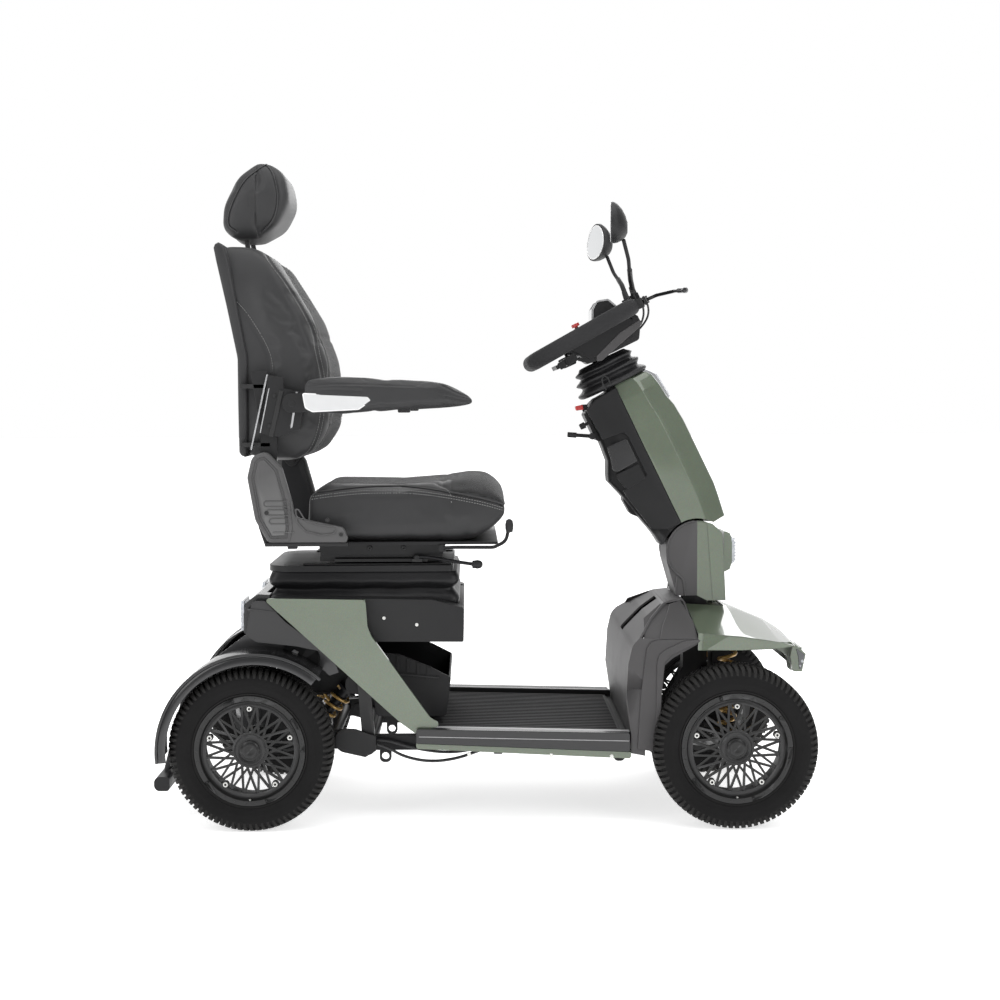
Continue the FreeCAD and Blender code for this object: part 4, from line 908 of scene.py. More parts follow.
hood_band = [(512, 452, 3), (508, 412, 3), (624, 412), (690, 412), (733, 412, 4), (733, 416), (690, 428),
             (600, 443), (560, 446)]
hood, inlay, lens = Shape(), Shape(), Shape()
for sign in (-1, 1):
    patch(hood, hood_tree, hood_band, sign, 3.0)
    pillar = [(700, 412, 4), (735, 413, 4), (767, 391, 4), (756, 345, 3), (733, 345, 6), (727, 380, 10),
              (700, 398, 4)]
    hood.prism("xz", pillar, *span(sign, 157, 176))
    hood.prism("xz", [(735, 412, 4), (766, 390, 4), (757, 347, 3), (735, 347, 6), (729, 384, 10)],
               *span(sign, 174, 212))
    inlay.prism("xz", [(741, 405, 2), (763, 387, 2), (756, 355, 3), (750, 352, 2), (747, 384, 6)],
                *span(sign, 206, 213.5))
    lens.rod((757, sign * 205, 372), (757, sign * 214.5, 372), 3.4, 14)
    lens.rod((752, sign * 205, 361), (752, sign * 214.3, 361), 2.6, 14)
piece("hood_trim", hood, GREEN, "chassis", 1.8, 3)
piece("lamp_inlay", inlay, SCREEN, "chassis", 1.0)
piece("lamp_points", lens, LENS, "chassis", 0.6)
liner = Shape()
for sign in (-1, 1):
    ring = [(x, sign * (min(283, shroud_side(z)) - 7), z) for x, z in
            dense([(374, 420), (384, 474), (430, 500), (492, 496), (500, 440), (440, 420)], 8)]
    liner.rings([[(x, y - sign * 3, z) for x, y, z in ring], ring])
piece("shroud_liner", liner, SHROUD, "chassis", 0)

# steering neck: lip round the pivot, green housing with a ribbed lens
neck, block, ribs = Shape(), Shape(), Shape()
for sign in (-1, 1):
    arc = [(TILT_X + 74 * cos(radians(a)), sign * 73, TILT_Z + 74 * sin(radians(a)))
           for a in range(96, 232, 6)]
    neck.tube(smooth_path(arc + [(492, sign * 73, 552), (497, sign * 73, 530), (499, sign * 73, 512)], 5),
              2.4, 8)
    neck.tube([(478, sign * 72.5, 560), (474, sign * 72.5, 514)], 1.8, 8)
    block.prism("xz", [(528, 694), (566, 688, 20), (588, 660, 24), (594, 502), (566, 504), (552, 690)],
                *span(sign, 70, 74.5))
piece("neck_lip", neck, SHROUD, "chassis", 0)
block.prism("xz", [(597, 668, 3), (612, 662, 5), (617, 640, 3), (617, 592, 3), (612, 574, 5), (597, 566, 3)],
            -46, 46)
piece("neck_front_facets", block, GREEN, "chassis", 2.0, 3)
for k in range(7):
    z = 594 + 8.2 * k
    ribs.prism("xz", [(616, z), (628.5, z + 2.5, 1), (628.5, z + 4.5, 1), (616, z + 6.5)], -40, 40)
piece("neck_lamp_ribs", ribs, LENS, "chassis", 0.5)


# ------------------------------------------------------------------ tiller covers
def cover_rings(plan, levels, foot):
    """Rings of a cover about the tiller axis; levels are (height, reach, width) scales of the plan."""
    rings = []
    for t, reach, width in levels:
        ring = []
        for x, y in plan:
            u, v = x * reach, y * width
            arch = sqrt(max(0.0, 80.0 ** 2 - u * u))
            ring.append((u, v, max(t, arch + 1) if t < foot else t))
        rings.append(ring)
    return rings


front_plan = dense(rounded([(-4.6, -78.6), (58, -77), (64, -74), (113, -43, 12), (113, 43, 12), (64, 74),
                            (58, 77), (-4.6, 78.6)], 4))
front_levels = [(46, 0.90, 1.0), (100, 0.97, 1.0), (130, 1.0, 1.0), (300, 1.0, 1.0), (345, 0.965, 1.0),
                (372, 0.90, 1.0), (408, 0.865, 0.995), (411, 0.86, 0.985), (433, 0.82, 0.90),
                (447, 0.74, 0.865), (451, 0.66, 0.84)]
green = Shape().rings(cover_rings(front_plan, front_levels, 90)).moved(ON_TILLER)
green = piece("tiller_cover_green", green, GREEN, "tiller", 1.4, 2, 24)
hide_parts("tiller_cover_front")
rear_plan = dense(rounded([(-5.4, 78.2), (-60, 78.2, 24), (-120, 51, 18), (-120, -51, 18), (-60, -78.2, 24),
                           (-5.4, -78.2)], 4))
rear_levels = [(50, 0.60, 0.97), (80, 0.63, 0.97), (96, 0.66, 0.97), (150, 0.78, 0.97), (200, 0.87, 0.97),
               (246, 0.99, 0.97), (262, 0.94, 0.97), (292, 0.82, 0.97), (330, 0.79, 0.97), (428, 0.75, 0.97),
               (443, 0.52, 0.95)]
grey = Shape().rings(cover_rings(rear_plan, rear_levels, 90)).moved(ON_TILLER)
grey = piece("tiller_cover_grey", grey, PLASTIC, "tiller", 1.4, 2, 28)
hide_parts("tiller_cover_rear")
flange, pocket, trimline = Shape(), Shape(), Shape()
for sign in (-1, 1):
    low, high = span(sign, 70, 81)
    flange.prism("xz", [(-6, 82), (-6, 446, 3), (-62, 441, 6), (-93, 428, 8), (-88, 346, 6), (-36, 340, 8),
                        (-30, 326, 10), (-30, 222, 4), (-98, 214, 4), (-96, 196), (-76, 98, 8), (-40, 80)],
                        low, high)
    low, high = span(sign, 72, 80)
    pocket.prism("xz", [(-34, 324, 6), (-34, 262), (-102, 258, 12), (-92, 290), (-86, 326, 4)], low, high)
    low, high = span(sign, 60, 82.4)
    trimline.prism("xz", [(-35, 256, 4), (-35, 216, 3), (-88, 210, 6), (-98, 246, 10), (-94, 256, 4)], low,
                   high)
flange = flange.moved(ON_TILLER)
piece("tiller_flanks", flange, PLASTIC, "tiller", 2.4, 3)
piece("tiller_recess", pocket.moved(ON_TILLER), GLOSS, "tiller", 3.0, 3)
piece("tiller_pocket", trimline.moved(ON_TILLER), PLASTIC, "tiller", 2.4, 3)
back_block = Shape()
back_block.prism("xz", [(-90, 426, 4), (-90, 346, 6), (-95, 344), (-101, 350, 4), (-101, 420, 6)], -50, 50)
back_block.prism("xz", [(-100, 200, 10), (-106, 186, 4), (-104, 150, 8), (-84, 128, 10), (-70, 150),
                        (-84, 210)], -34, 34)
back_block.prism("xz", [(-62, 96, 8), (-76, 92, 8), (-62, 70, 6), (-40, 78)], -30, 30)
piece("tiller_rear_block", back_block.moved(ON_TILLER), PLASTIC, "tiller", 2.5, 3)
knobs, red = Shape(), Shape()
knobs.rod((-92, -34, 396), (-112, -34, 396), 4.0, 14)
knobs.rod((-108, -34, 396), (-122, -34, 396), 8.0, 20, 7.0)
knobs.rod((-84, -34, 432), (-98, -34, 438), 7.0, 18)
knobs = knobs.moved(ON_TILLER)
piece("tiller_knob", knobs, PLASTIC, "tiller", 1.0)
red.prism("xz", [(-96, 431, 2), (-114, 437, 3), (-111, 448, 3), (-93, 443, 2)], -46, -22)
piece("tiller_red_knob", red.moved(ON_TILLER), RED, "tiller", 1.2)
lamp = Shape().prism("xz", [(104, 362, 3), (109, 368, 2), (101.5, 432, 4), (84, 453, 4), (70, 451),
                            (88, 400)], -36, 36)
piece("headlight_bezel", lamp.moved(ON_TILLER), CHROME, "tiller", 1.2, 3)
lens = Shape()
for k in range(9):
    y = -30 + 60 * k / 8
    lens.prism("xz", [(106, 372), (109.5, 372, 1), (103.5, 430, 2), (100, 431)], y - 2.6, y + 2.6)
piece("headlight_ribs", lens.moved(ON_TILLER), LENS, "tiller", 0.8)

# pleated boot between tiller and handlebar
pleats = []
folds = [(449.8, 60, 0), (451.5, 84, 0), (456, 88, 1.5), (463, 91, 2.5), (469, 76, 2), (475, 70, 2),
         (482, 80, 3), (488, 85, 3), (493, 71, 2.5), (498, 64, 2), (504, 72, 2.5), (509, 77, 2.5),
         (513.5, 66, 2), (518, 61, 1), (522, 60, 0), (522.5, 50, 0)]
for k, (t, r, wobble) in enumerate(folds):
    ring = []
    for s in range(72):
        a = 2 * pi * s / 72
        rr = r * (1 + 0.03 * cos(2 * a)) + wobble * 0.45 * sin(5 * a + k * 1.7)
        ring.append((rr * cos(a), rr * 0.98 * sin(a), t + wobble * 0.6 * sin(3 * a + k * 2.1)))
    pleats.append(ring)
boot = to_mesh("tiller_boot_soft", Shape().rings(pleats).moved(ON_TILLER))
boot = put("tiller_boot_soft", boot, BELLOWS)
sub = boot.modifiers.new("sub", "SUBSURF")
sub.levels = sub.render_levels = 1
applied(boot)
boot.data.polygons.foreach_set("use_smooth", [True] * len(boot.data.polygons))
low, high = ON_TILLER @ Vector((0, 0, 452)), ON_TILLER @ Vector((0, 0, 520))
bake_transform(boot)
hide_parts("tiller_boot")
strap = Shape().tube(smooth_path([(-28, -86, 452), (-30, -90, 466), (-26, -92, 480), (-18, -91, 483),
                                  (-13, -91, 474), (-14, -88, 456)], 3), 1.8, 8)
piece("boot_strap", strap.moved(ON_TILLER), PLASTIC, "tiller", 0)

# ------------------------------------------------------------------ handlebar
dress("stop_button", RED, 1.0)
bits, fin, tips, clips = Shape(), Shape(), Shape(), Shape()
bits.lathe([(0, 596), (8.5, 596), (8.5, 606), (6.5, 611), (5.2, 618), (0, 618)], (-25, -55, 0), "z", 24)
for sign in (-1, 1):
    y0, y1 = span(sign, 76, 86)
    fin.prism("xz", [(-20, 522, 4), (-6, 519, 3), (112, 552, 4), (121, 562, 4), (116, 568, 4), (60, 560, 20),
                     (-14, 534, 6)], y0, y1)
    y0, y1 = span(sign, 79, 84)
    bits.prism("xz", [(-78, 590, 5), (-48, 556, 6), (-30, 534, 6), (84, 534, 8), (104, 562, 8), (104, 580, 6),
                      (84, 604, 6)], y0, y1)
    bits.prism("xz", [(88, 604, 3), (99, 604, 3), (118, 578, 3), (118, 560, 3), (104, 562)], y0, y1)
    bits.prism("xz", [(-96, 566, 4), (-70, 566, 4), (-58, 548, 4), (-62, 540, 4), (-92, 541, 4)],
               *span(sign, 24, 40))
bits.prism("xz", [(-108, 560, 3), (-92, 563, 3), (-90, 546, 3), (-106, 542, 3)], -116, -90)
bits.prism("xz", [(-92, 562, 4), (-60, 566, 4), (-56, 546, 4), (-88, 543, 4)], -96, -60)
bits.prism("xz", [(-60, 545, 3), (-38, 528, 3), (-20, 524, 3), (-20, 534, 3), (-36, 538, 3), (-54, 552, 3)],
           -84, -74)
bits = bits.moved(ON_TILLER)
piece("console_trim", bits, PLASTIC, "handlebar", 1.8, 3)
piece("console_fin", fin.moved(ON_TILLER), SHROUD, "handlebar", 2.0, 3)
screen = Shape().prism("xz", [(16, 611), (31.5, 641.5, 4), (29, 643, 2), (13, 611)], -46, 46)
rimmed = Shape()
band(rimmed, "xz", [(12, 607), (29, 642, 9), (48, 655, 9), (75, 646.5, 9), (90, 612)],
     [(15, 607), (31, 639, 8), (48, 651, 8), (72, 643, 8), (86, 611)], -57.5, -53.5)
band(rimmed, "xz", [(12, 607), (29, 642, 9), (48, 655, 9), (75, 646.5, 9), (90, 612)],
     [(15, 607), (31, 639, 8), (48, 651, 8), (72, 643, 8), (86, 611)], 53.5, 57.5)
piece("display_glass", screen.moved(ON_TILLER), SCREEN, "handlebar", 0.8)
piece("display_rim", rimmed.moved(ON_TILLER), PLATE, "handlebar", 0.8)
tips.lathe([(0, 250), (4.5, 249), (6.6, 245), (7.2, 240), (6.4, 235), (5, 232), (0, 231)], (0, 0, 0), "y", 20)
tips = tips.moved(Matrix.Translation((222, -482, 583)))
piece("lever_tip", tips.moved(ON_TILLER), GLOSS, "brake_lever", 0)
clips.prism("xy", [(112, -150, 5), (136, -150, 5), (136, -112, 5), (112, -112, 5)], 590, 614)
clips.rod((128, -104, 606), (128, -104, 632), 3.0, 12)
clips.rod((128, -104, 630), (128, -104, 634), 6.0, 16)
clips.rod((137, -116, 601), (137, -110, 600), 5.0, 14)
for sign in (-1, 1):
    clips.rod((130, sign * 88, 618), (133, sign * 91, 648), 9.0, 18, 6.5)
    clips.tube([(133, sign * 91, 640), (137, sign * 108, 664), (140, sign * 150, 684)], 6.2, 14)
piece("bar_clamps", clips.moved(ON_TILLER), STEEL_BLACK, "handlebar", 1.0)


# mirrors: domed teardrop shells, rimmed glass facing the rider
def mirror_head(sign):
    """Head drawn about its own middle: glass faces -x, wide along y, tall along z."""
    def ring(x, wide, tall, drop=0.0, sides=44):
        return [(x, wide * cos(2 * pi * k / sides) * (1 - 0.10 * sin(2 * pi * k / sides)),
                 tall * sin(2 * pi * k / sides) + drop) for k in range(sides)]
    shell = Shape().rings([ring(1.5, 57, 42), ring(-1.5, 60, 45), ring(-0.5, 63, 47), ring(5, 64, 47.5),
                           ring(14, 61, 44, -2), ring(24, 52, 36, -5), ring(32, 37, 25, -9),
                           ring(37, 18, 12, -12)])
    rim = Shape().rings([ring(-1.2, 58.5, 43.5), ring(-2.6, 58, 43), ring(-2.6, 55.5, 40.5),
                         ring(-1.2, 55, 40)], closed=True)
    glass = Shape().rings([ring(0.5, 56, 41), ring(-1.6, 56, 41), ring(-1.9, 30, 22)])
    turn = (Matrix.Translation((139, sign * 236, 797)) @ Matrix.Rotation(radians(MIRROR_YAW[sign]), 4, "Z")
            @ Matrix.Rotation(TILLER_LEAN, 4, "Y"))
    return [s.moved(ON_TILLER @ turn) for s in (shell, rim, glass)]


MIRROR_YAW = {-1: -6.0, 1: 19.0}
for name, sign in (("right", -1), ("left", 1)):
    shell, rim, glass = mirror_head(sign)
    body = "mirror_" + name
    shell = piece("mirror_shell_" + name, shell, PLASTIC, body, 0, angle=50)
    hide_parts("mirror_" + name)
    piece("mirror_rim_" + name, rim, WHITE_RIM, body, 0, angle=40)
    piece("mirror_glass_" + name, glass, MIRROR, body, 0, angle=40)


# cords held all the way
def held_cord(name, body, node, points, radius, place=None):
    data = bpy.data.curves.new(name, "CURVE")
    data.dimensions = "3D"
    line = data.splines.new("NURBS")
    line.points.add(len(points) - 1)
    for control, p in zip(line.points, points):
        p = Vector(p) if place is None else place @ Vector(p)
        control.co = (*(p * MM), 1)
    line.order_u = 3
    line.use_endpoint_u = True
    line.resolution_u = 12
    data.bevel_depth, data.bevel_resolution, data.use_fill_caps = radius * MM, 4, True
    data.materials.append(CABLE)
    obj = bpy.data.objects.new(name, data)
    bpy.context.scene.collection.objects.link(obj)
    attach(obj, body)
    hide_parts(node)
    return obj


held_cord("brake_cable", "chassis", "underfloor_cables",
          [(-249, -205, 178), (-222, -205, 170), (-185, -205, 147), (-122, -204, 134), (-58, -204, 142),
           (-10, -205, 160), (27.8, -206, 172)], 3.5)
held_cord("motor_lead", "chassis", "underfloor_cables",
          [(-249, -193, 186), (-222, -193, 184), (-183, -192, 171), (-122, -192, 157), (-62, -192, 154),
           (-12, -193, 164), (27.8, -194, 176)], 3.5)
held_cord("lever_cable", "handlebar", "control_cables",
          [(137, -111.8, 600), (137, -96, 588), (128, -78, 566), (117.2, -60, 556)], 2.5, ON_TILLER)
held_cord("switch_lead", "handlebar", "control_cables",
          [(146, -117.8, 603), (150, -100, 594), (146, -74, 572), (132, -50, 556), (114, -40, 548)], 2.5,
          ON_TILLER)


# ------------------------------------------------------------------ seat hardware
cover = [(-490, 664, 12), (-520, 717, 40), (-537, 815, 24), (-525, 866, 26), (-492, 876, 20), (-457, 838, 30),
         (-437, 763, 20), (-432, 700, 10), (-438, 666, 4)]
shapes = {k: Shape() for k in ("rim", "plate", "pill", "hole", "swoosh", "foot")}
for sign in (-1, 1):
    band(shapes["rim"], "xz", inset(cover, 2), inset(cover, 10), *span(sign, 283, 287.6))
    band(shapes["plate"], "xz", inset(cover, 12.5), inset(cover, 14.5), *span(sign, 283, 286.4))
    shapes["plate"].prism("xz", inset(cover, 17), *span(sign, 283, 287.0))
    for z, x0, x1 in ((755, -500, -438), (735, -494, -436), (715, -488, -435)):
        outer = [(x0, z - 7.5, 7), (x1, z - 7.5, 7), (x1, z + 7.5, 7), (x0, z + 7.5, 7)]
        band(shapes["pill"], "xz", outer, inset(outer, 2.4), *span(sign, 286, 289.0))
    shapes["pill"].prism("xz", [(-480, 688), (-430, 688), (-430, 690.5), (-480, 690.5)],
                         *span(sign, 286, 288.4))
    for x, z in ((-493, 734), (-353, 717), (-280, 691)):
        if x < -330:
            shapes["hole"].rod((x, sign * 284, z), (x, sign * (290.0 if x < -400 else 288.2), z), 5.0, 20)
        else:
            shapes["hole"].rod((-322, sign * 284, 683), (-322, sign * 288.2, 683), 4.6, 20)
    sweep_ = [(-428, 745, 6), (-424, 712, 14), (-404, 690, 16), (-366, 681, 8), (-338, 684, 8),
              (-330, 694, 6), (-345, 703), (-378, 708), (-402, 716, 14), (-418, 742, 6)]
    band(shapes["swoosh"], "xz", sweep_, inset(sweep_, 3), *span(sign, 283, 288.4))
    shapes["foot"].prism("xz", [(-498, 656), (-306, 656), (-306, 664, 2), (-498, 664, 2)],
                         *span(sign, 262, 286.5))
    shapes["foot"].prism("xz", [(-446, 650, 2), (-424, 650, 2), (-424, 658), (-446, 658)],
                         *span(sign, 266, 284))
for key, mat, bevel in (("rim", COVER, 1.8), ("plate", COVER, 1.2), ("pill", COVER, 0.9),
                        ("swoosh", COVER, 1.4)):
    piece("side_cover_" + key, shapes[key], mat, "seat", bevel, 3)
piece("side_cover_holes", shapes["hole"], RIM, "seat", 0.5)
piece("side_cover_foot", shapes["foot"], PLASTIC, "seat", 1.5)
rails = Shape()
for sign in (-1, 1):
    rails.prism("xz", [(-380, 658), (-92, 658), (-92, 636, 3), (-104, 627, 4), (-372, 627, 6),
                       (-382, 636, 6)],
                *span(sign, 186, 190))
    for x in (-262, -182):
        rails.lathe([(0, 0), (6, 0), (6, 3), (4.4, 4.2), (2.4, 4.2), (2.3, 2), (0, 2)], (0, 0, 0), "y", 20)
        last = len(rails.verts) - 7 * 20
        rails.verts[last:] = [(x + u, sign * (189.5 + v), 643 + w) for u, v, w in rails.verts[last:]]
piece("slide_rails_trim", rails, STEEL_BLACK, "seat", 1.0)
knob = Shape().lathe([(0, 684), (6, 685), (9, 692), (9.6, 702), (7.5, 712), (3, 715.5), (0, 716)],
                     (66, -264, 0), "z", 24)
piece("slide_lever_knob", knob, PLASTIC, "slide_lever", 0)
ball = Shape().lathe([(0, -22), (5, -21), (9.2, -15), (10.4, -8), (9, -1), (5, 3.5), (0, 4.5)],
                     (0, -219, 606), "x", 24)
piece("swivel_lever_ball", ball, PLASTIC, "swivel_lever", 0)

# backrest rear shell, its latch, side plates with bright edges
back_shell = [(-552, 860, 6), (-563, 868, 8), (-564, 975), (-564, 1091), (-588, 1212), (-610, 1313),
              (-617, 1350, 10), (-606, 1362, 8), (-590, 1350, 6), (-580, 1313), (-562, 1212), (-540, 1091),
              (-540, 975), (-542, 862)]
rings = []
for y, by in ((-230, 6.5), (-229, 3.6), (-226.5, 1.4), (-222, 0.2), (222, 0.2), (226.5, 1.4), (229, 3.6),
              (230, 6.5)):
    rings.append([(x, y, z) for x, z in resample(rounded(inset(back_shell, by)), 110)])
piece("backrest_shell", Shape().rings(rings), VINYL, "backrest", 0, angle=70)
arms = Shape()
arms.pair("xz", [(-512, 835, 18), (-492, 813, 20), (-472, 835, 20), (-470, 920), (-492, 1060, 4),
                 (-530, 1060, 4), (-508, 920)], 246, 254)
arms.pair("xz", [(-480, 1016, 8), (-407, 1000, 10), (-414, 924, 10), (-502, 925, 10)], 250, 264)
arms.box(-556, -486, -254, 254, 885, 895)
arms.box(-556, -500, -254, 254, 1020, 1030)
arms.rod((-432, -284, 985), (-432, -262, 985), 8.0, 20)
arms.rod((-432, 262, 985), (-432, 284, 985), 8.0, 20)
arms = piece("backrest_arms", arms, STEEL_BLACK, "backrest", 1.0)
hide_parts("backrest_frame")
latch, bright, plates = Shape(), Shape(), Shape()
latch.prism("xz", [(-566, 1128, 3), (-577, 1124, 4), (-573, 1104, 4), (-563, 1096, 3)], -60, 60)
for sign in (-1, 1):
    plates.prism("xz", [(-488, 1050, 3), (-452, 1046, 3), (-452, 1020), (-404, 1008, 4), (-416, 926, 4),
                        (-462, 908, 4), (-505, 916, 4)], *span(sign, 262, 268.5))
    plates.prism("xz", [(-462, 1016), (-452, 1014), (-478, 908), (-488, 910)], *span(sign, 267, 271))
    bright.prism("xz", [(-492, 1052), (-488, 1052), (-528, 878), (-531, 880)], *span(sign, 255, 266))
    bright.prism("xz", [(-487, 1020), (-484.5, 1020), (-506, 918), (-508.5, 918)], *span(sign, 267, 270))
    bright.prism("xz", [(-424, 1012), (-419, 1011), (-433, 930), (-438, 928)], *span(sign, 267, 270))
    for x, z in ((-474, 1004), (-486, 934)):
        latch.rod((x, sign * 266, z), (x, sign * 271.5, z), 5.0, 6)
piece("backrest_latch", latch, PLASTIC, "backrest", 1.0)
piece("backrest_plates", plates, STEEL_BLACK, "backrest", 0.8)
piece("backrest_plate_edges", bright, STEEL, "backrest", 0.4)

# pleated skirt under the seat
skirt = []
for z, inset_by, wave in ((506.8, 10, 0), (509, 3, 0), (515, 1, 0.5), (524, -0.5, 1.2), (534, 4, 1),
                          (543, 15, 1.5), (549, 15, 1.5), (557, 4, 1), (566, -0.5, 1.2), (576, 2, 1),
                          (584, 6, 0.4), (588.5, 6, 0), (588.6, 14, 0)):
    corners = [(-502 + inset_by, -207 + inset_by, 18), (-50 - inset_by, -207 + inset_by, 18),
               (-50 - inset_by, 207 - inset_by, 18), (-502 + inset_by, 207 - inset_by, 18)]
    ring = []
    for k, (x, y) in enumerate(dense(rounded(corners, 4), 14)):
        near = max(0.0, 1 - min(abs(x + 502), abs(x + 50)) / 60) * max(0.0, 1 - (207 - abs(y)) / 60)
        ring.append((x, y, z + wave * sin(x / 17 + y / 13) * 0.8 + near * wave * 1.6 * sin(z / 5)))
    skirt.append(ring)
count = min(len(r) for r in skirt)


skirt = to_mesh("seat_skirt", Shape().rings([resample(r, 160) for r in skirt]))
skirt = put("seat_skirt", skirt, BELLOWS)
sub = skirt.modifiers.new("sub", "SUBSURF")
sub.levels = sub.render_levels = 1
applied(skirt)
skirt.data.polygons.foreach_set("use_smooth", [True] * len(skirt.data.polygons))
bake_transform(skirt)
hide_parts("seat_bellows")
top = Shape()
top.box(-420, -70, -196, -150, 603, 607)
top.box(-420, -70, 150, 196, 603, 607)
piece("seat_plate_rails", top, STEEL_BLACK, "seat_platform", 1.0)

# ------------------------------------------------------------------ rear bodywork and deck
cowl_tree = cad_tree("tail_cowl")
fenders = Shape()
for sign in (-1, 1):
    section = [(228, 215), (228, 325), (227.4, 335), (225.5, 342), (221, 347), (214, 349), (204, 349),
               (204, 345.4), (213, 345.2), (219, 343), (222.4, 338), (223.8, 330), (224, 215)]
    rings = []
    for a in range(50, 187, 2):
        c, w = cos(radians(a)), sin(radians(a))
        rings.append([(FENDER_X + r * c, sign * y, FENDER_Z + r * w) for r, y in section])
    fenders.rings(rings)
    arch = [(FENDER_X + 225 * cos(radians(a)), FENDER_Z + 225 * sin(radians(a))) for a in range(44, 125, 4)]
    fenders.prism("xz", [(-545, 449), (-520, 433), (-358, 408), (-336, 352)] + arch, *span(sign, 215, 219))
fenders = piece("rear_fender_shells", fenders, GLOSS, "chassis", 0, angle=40)
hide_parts("rear_fenders")
ridges, bar, cap = Shape(), Shape(), Shape()
lips = Shape()
for sign in (-1, 1):
    patch(ridges, cowl_tree, [(-540, 513, 2), (-468, 512, 2), (-460, 503, 2), (-544, 503, 2)], sign, 2.6,
          fallback=284)
    arc = [(FENDER_X + 225.5 * cos(radians(a)), sign * 344.8, FENDER_Z + 225.5 * sin(radians(a)))
           for a in range(186, 47, -3)]
    lips.tube(arc, 3.9, 10)
    arc = [(FENDER_X + 226 * cos(radians(a)), sign * (344 - 112 * min(1, (a - 112) / 20.0)),
            FENDER_Z + 226.4 * sin(radians(a)))
           for a in range(112, 150, 2)]
    lips.tube(arc, 2.4, 8)
    cap.lathe([(0, 218), (49, 218), (49, 224), (46, 226), (43, 224.5), (0, 224.5)], (0, 0, 0), "y", 56)
    last = len(cap.verts) - 6 * 56
    cap.verts[last:] = [(-428 + u, sign * v, 380 + w) for u, v, w in cap.verts[last:]]
    bar.prism("xz", [(-474, 378), (-462, 371), (-428, 402), (-440, 408)], *span(sign, 224, 229))
piece("cowl_ridges", ridges, GLOSS, "chassis", 1.2, 3)
piece("fender_lips", lips, GLOSS, "chassis", 0, angle=50)
piece("suspension_cap", cap, PLASTIC, "chassis", 0.8)
piece("suspension_cap_bar", bar, PLATE, "chassis", 0.8)
lamps = Shape()
for sign in (-1, 1):
    for z in (459, 474, 489, 505):
        lamps.prism("xz", [(-560, z, 2), (-563.5, z + 3, 2), (-563.5, z + 10, 2), (-560, z + 13, 2)],
                    *span(sign, 152, 243))
piece("tail_lamp_ribs", lamps, CHROME, "chassis", 0.8)
ribs = Shape()
for k in range(26):
    y = -240 + 480 * k / 25
    ribs.rings([[(x, y + side, 217.3 - 0.02425 * (x + 150) + 3.9 + top) for side, top in
                 ((-4.5, 0), (-3, 1.8), (3, 1.8), (4.5, 0))] for x in (-132, 322)])
piece("mat_ribs", ribs, RUBBER, "chassis", 0)
# Light grey strips on the deck's top edge and low on the rails' outer faces are painted highlight lines
# standing for the sheen along these glossy edges; the top strip is partly a real silver-grey edge and partly
# painted highlight.
edge, studs = Shape(), Shape()
for sign in (-1, 1):
    edge.prism("xz", [(-148, 231.4), (343, 219.4), (343, 221.0), (-148, 233.0)], *span(sign, 263, 281))
    edge.prism("xz", [(-146, 214.5, 1), (340, 202.5, 1), (340, 204.2, 1), (-146, 216.2, 1)],
               *span(sign, 305.2, 306.6))
    for x in (-30, 160, 300):
        studs.rod((x, sign * 299, 176 - 0.02 * (x + 150)), (x, sign * 301.4, 176 - 0.02 * (x + 150)), 5.0, 6)
    for x, z in ((-226, 486), (-150, 470)):
        studs.rod((x, sign * 261, z), (x, sign * 263.4, z), 4.0, 16)
piece("deck_edge_highlights", edge, PLATE, "chassis", 0.5)
piece("studs", studs, ZINC, "chassis", 0.6)
bin_ribs = Shape()
for x, z in ((-250, 392), (-226, 391), (-202, 389), (-178, 381), (-154, 371), (-130, 361)):
    bin_ribs.pair("xz", [(x, z, 2), (x + 8, z - 3, 2), (x + 8, z - 34, 3), (x, z - 34, 3)], 184.5, 187.5)
bin_ribs.pair("xz", [(-266, 352, 3), (-100, 335, 3), (-100, 330, 3), (-266, 346, 3)], 184.5, 188.5)
piece("bin_ribs", bin_ribs, PLASTIC, "chassis", 0.8)
damper = Shape()
for sign in (-1, 1):
    damper.rod((-304, sign * 147, 319), (-304, sign * 183, 319), 8.5, 6)
piece("damper_bolts", damper, ZINC, "chassis", 0.8)


# ------------------------------------------------------------------ studio
def softbox(name, at, aim, size, power):
    lamp = bpy.data.lights.new(name, "AREA")
    lamp.shape, lamp.size, lamp.size_y, lamp.energy = "RECTANGLE", size[0], size[1], power
    obj = bpy.data.objects.new(name, lamp)
    bpy.context.scene.collection.objects.link(obj)
    obj.location = at
    obj.rotation_euler = (Vector(aim) - Vector(at)).to_track_quat("-Z", "Y").to_euler()
    return obj


softbox("overhead", (0.2, -0.6, 3.6), (0, 0, 0.6), (4.2, 3.0), 80)
softbox("front_side", (2.6, -2.8, 2.4), (0.2, 0, 0.6), (1.8, 2.2), 38)
softbox("rear_side", (-2.8, -2.2, 2.2), (-0.2, 0, 0.7), (1.6, 2.2), 34)
softbox("behind", (0.2, 3.2, 2.4), (0, 0, 0.7), (3.0, 1.6), 40)

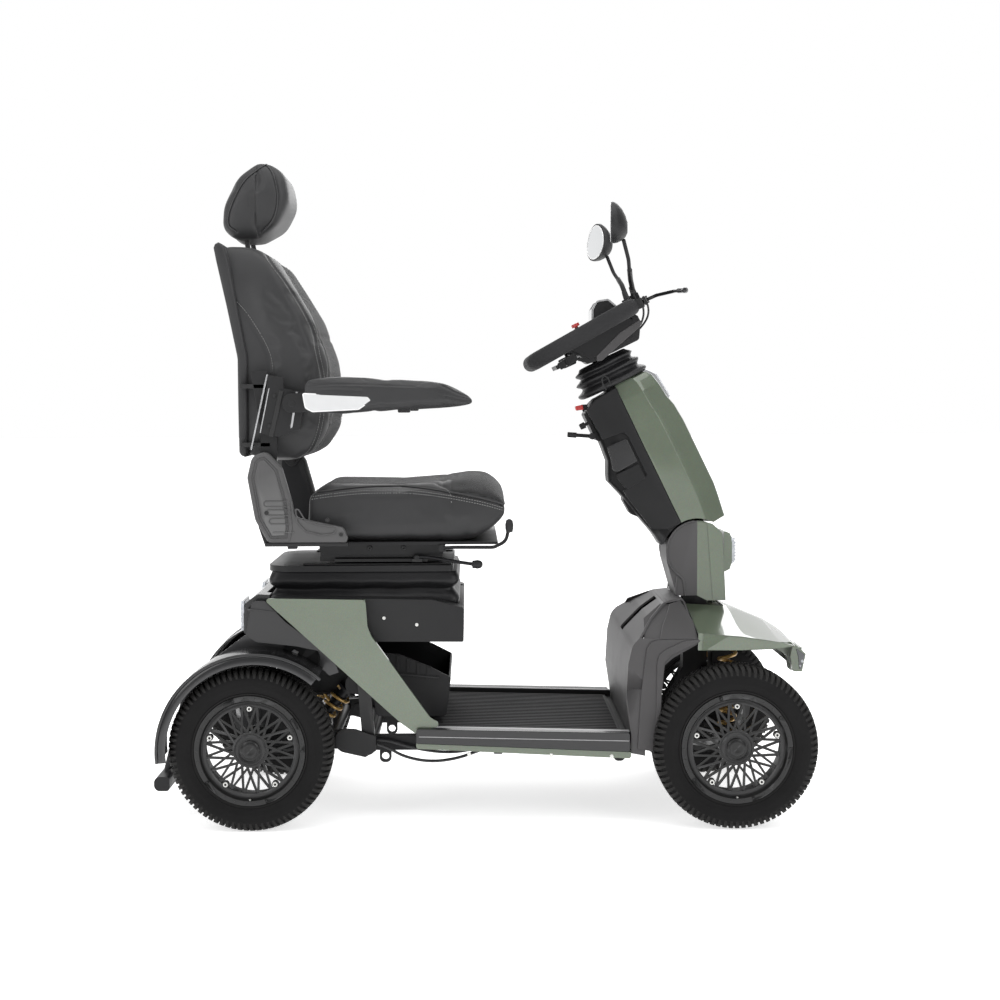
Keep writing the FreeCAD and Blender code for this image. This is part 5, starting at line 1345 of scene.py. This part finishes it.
world = bpy.data.worlds.new("studio")
bpy.context.scene.world = world
world.use_nodes = True
sky = world.node_tree
coords, split = sky.nodes.new("ShaderNodeTexCoord"), sky.nodes.new("ShaderNodeSeparateXYZ")
card = sky.nodes.new("ShaderNodeValToRGB")
sky.links.new(coords.outputs["Generated"], split.inputs["Vector"])
sky.links.new(split.outputs["Y"], card.inputs["Fac"])
stops = card.color_ramp.elements
stops[0].position, stops[0].color = 0.45, (0.44, 0.44, 0.44, 1)
stops[1].position, stops[1].color = 0.80, (1.0, 1.0, 1.0, 1)
sky.links.new(card.outputs["Color"], sky.nodes["Background"].inputs["Color"])
sky.nodes["Background"].inputs["Strength"].default_value = 1.0

floor_mat = material("studio_floor", (0.92, 0.92, 0.92), 0.85, tone=0.01, spec=0.1)
floor_tree = floor_mat.node_tree
# The floor glows by itself, dimmest within 0.7 m of the middle and full from 2.4 m out: painted light that
# whitens the floor, and a painted grey pool of shade round the scooter.
spot, reach_of, glow = (floor_tree.nodes.new("ShaderNodeTexCoord"),
                        floor_tree.nodes.new("ShaderNodeVectorMath"),
                        floor_tree.nodes.new("ShaderNodeMapRange"))
reach_of.operation = "LENGTH"
glow.inputs["From Min"].default_value, glow.inputs["From Max"].default_value = 0.7, 2.4
glow.inputs["To Min"].default_value, glow.inputs["To Max"].default_value = 0.66, 1.0
floor_tree.links.new(spot.outputs["Object"], reach_of.inputs[0])
floor_tree.links.new(reach_of.outputs["Value"], glow.inputs["Value"])
floor_shader = floor_tree.nodes["Principled BSDF"]
floor_shader.inputs["Emission Color"].default_value = (1, 1, 1, 1)
floor_tree.links.new(glow.outputs["Result"], floor_shader.inputs["Emission Strength"])
floor_mesh = bpy.data.meshes.new("floor")
reach = 40.0
floor_mesh.from_pydata([(-reach, -reach, 0), (reach, -reach, 0), (reach, reach, 0), (-reach, reach, 0)], [],
                       [(0, 1, 2, 3)])
floor_mesh.materials.append(floor_mat)
floor = bpy.data.objects.new("floor", floor_mesh)
bpy.context.scene.collection.objects.link(floor)

camera_data = bpy.data.cameras.new("camera")
camera = bpy.data.objects.new("camera", camera_data)
bpy.context.scene.collection.objects.link(camera)
camera_data.lens, camera_data.sensor_width, camera_data.shift_x = 58.7, 36.0, 0.03
camera.location = (-0.0235, -4.029, 0.991)
camera.rotation_euler = (radians(90 - 3.51), radians(0.3), 0)
bpy.context.scene.camera = camera
bpy.context.scene.view_settings.view_transform = "Standard"
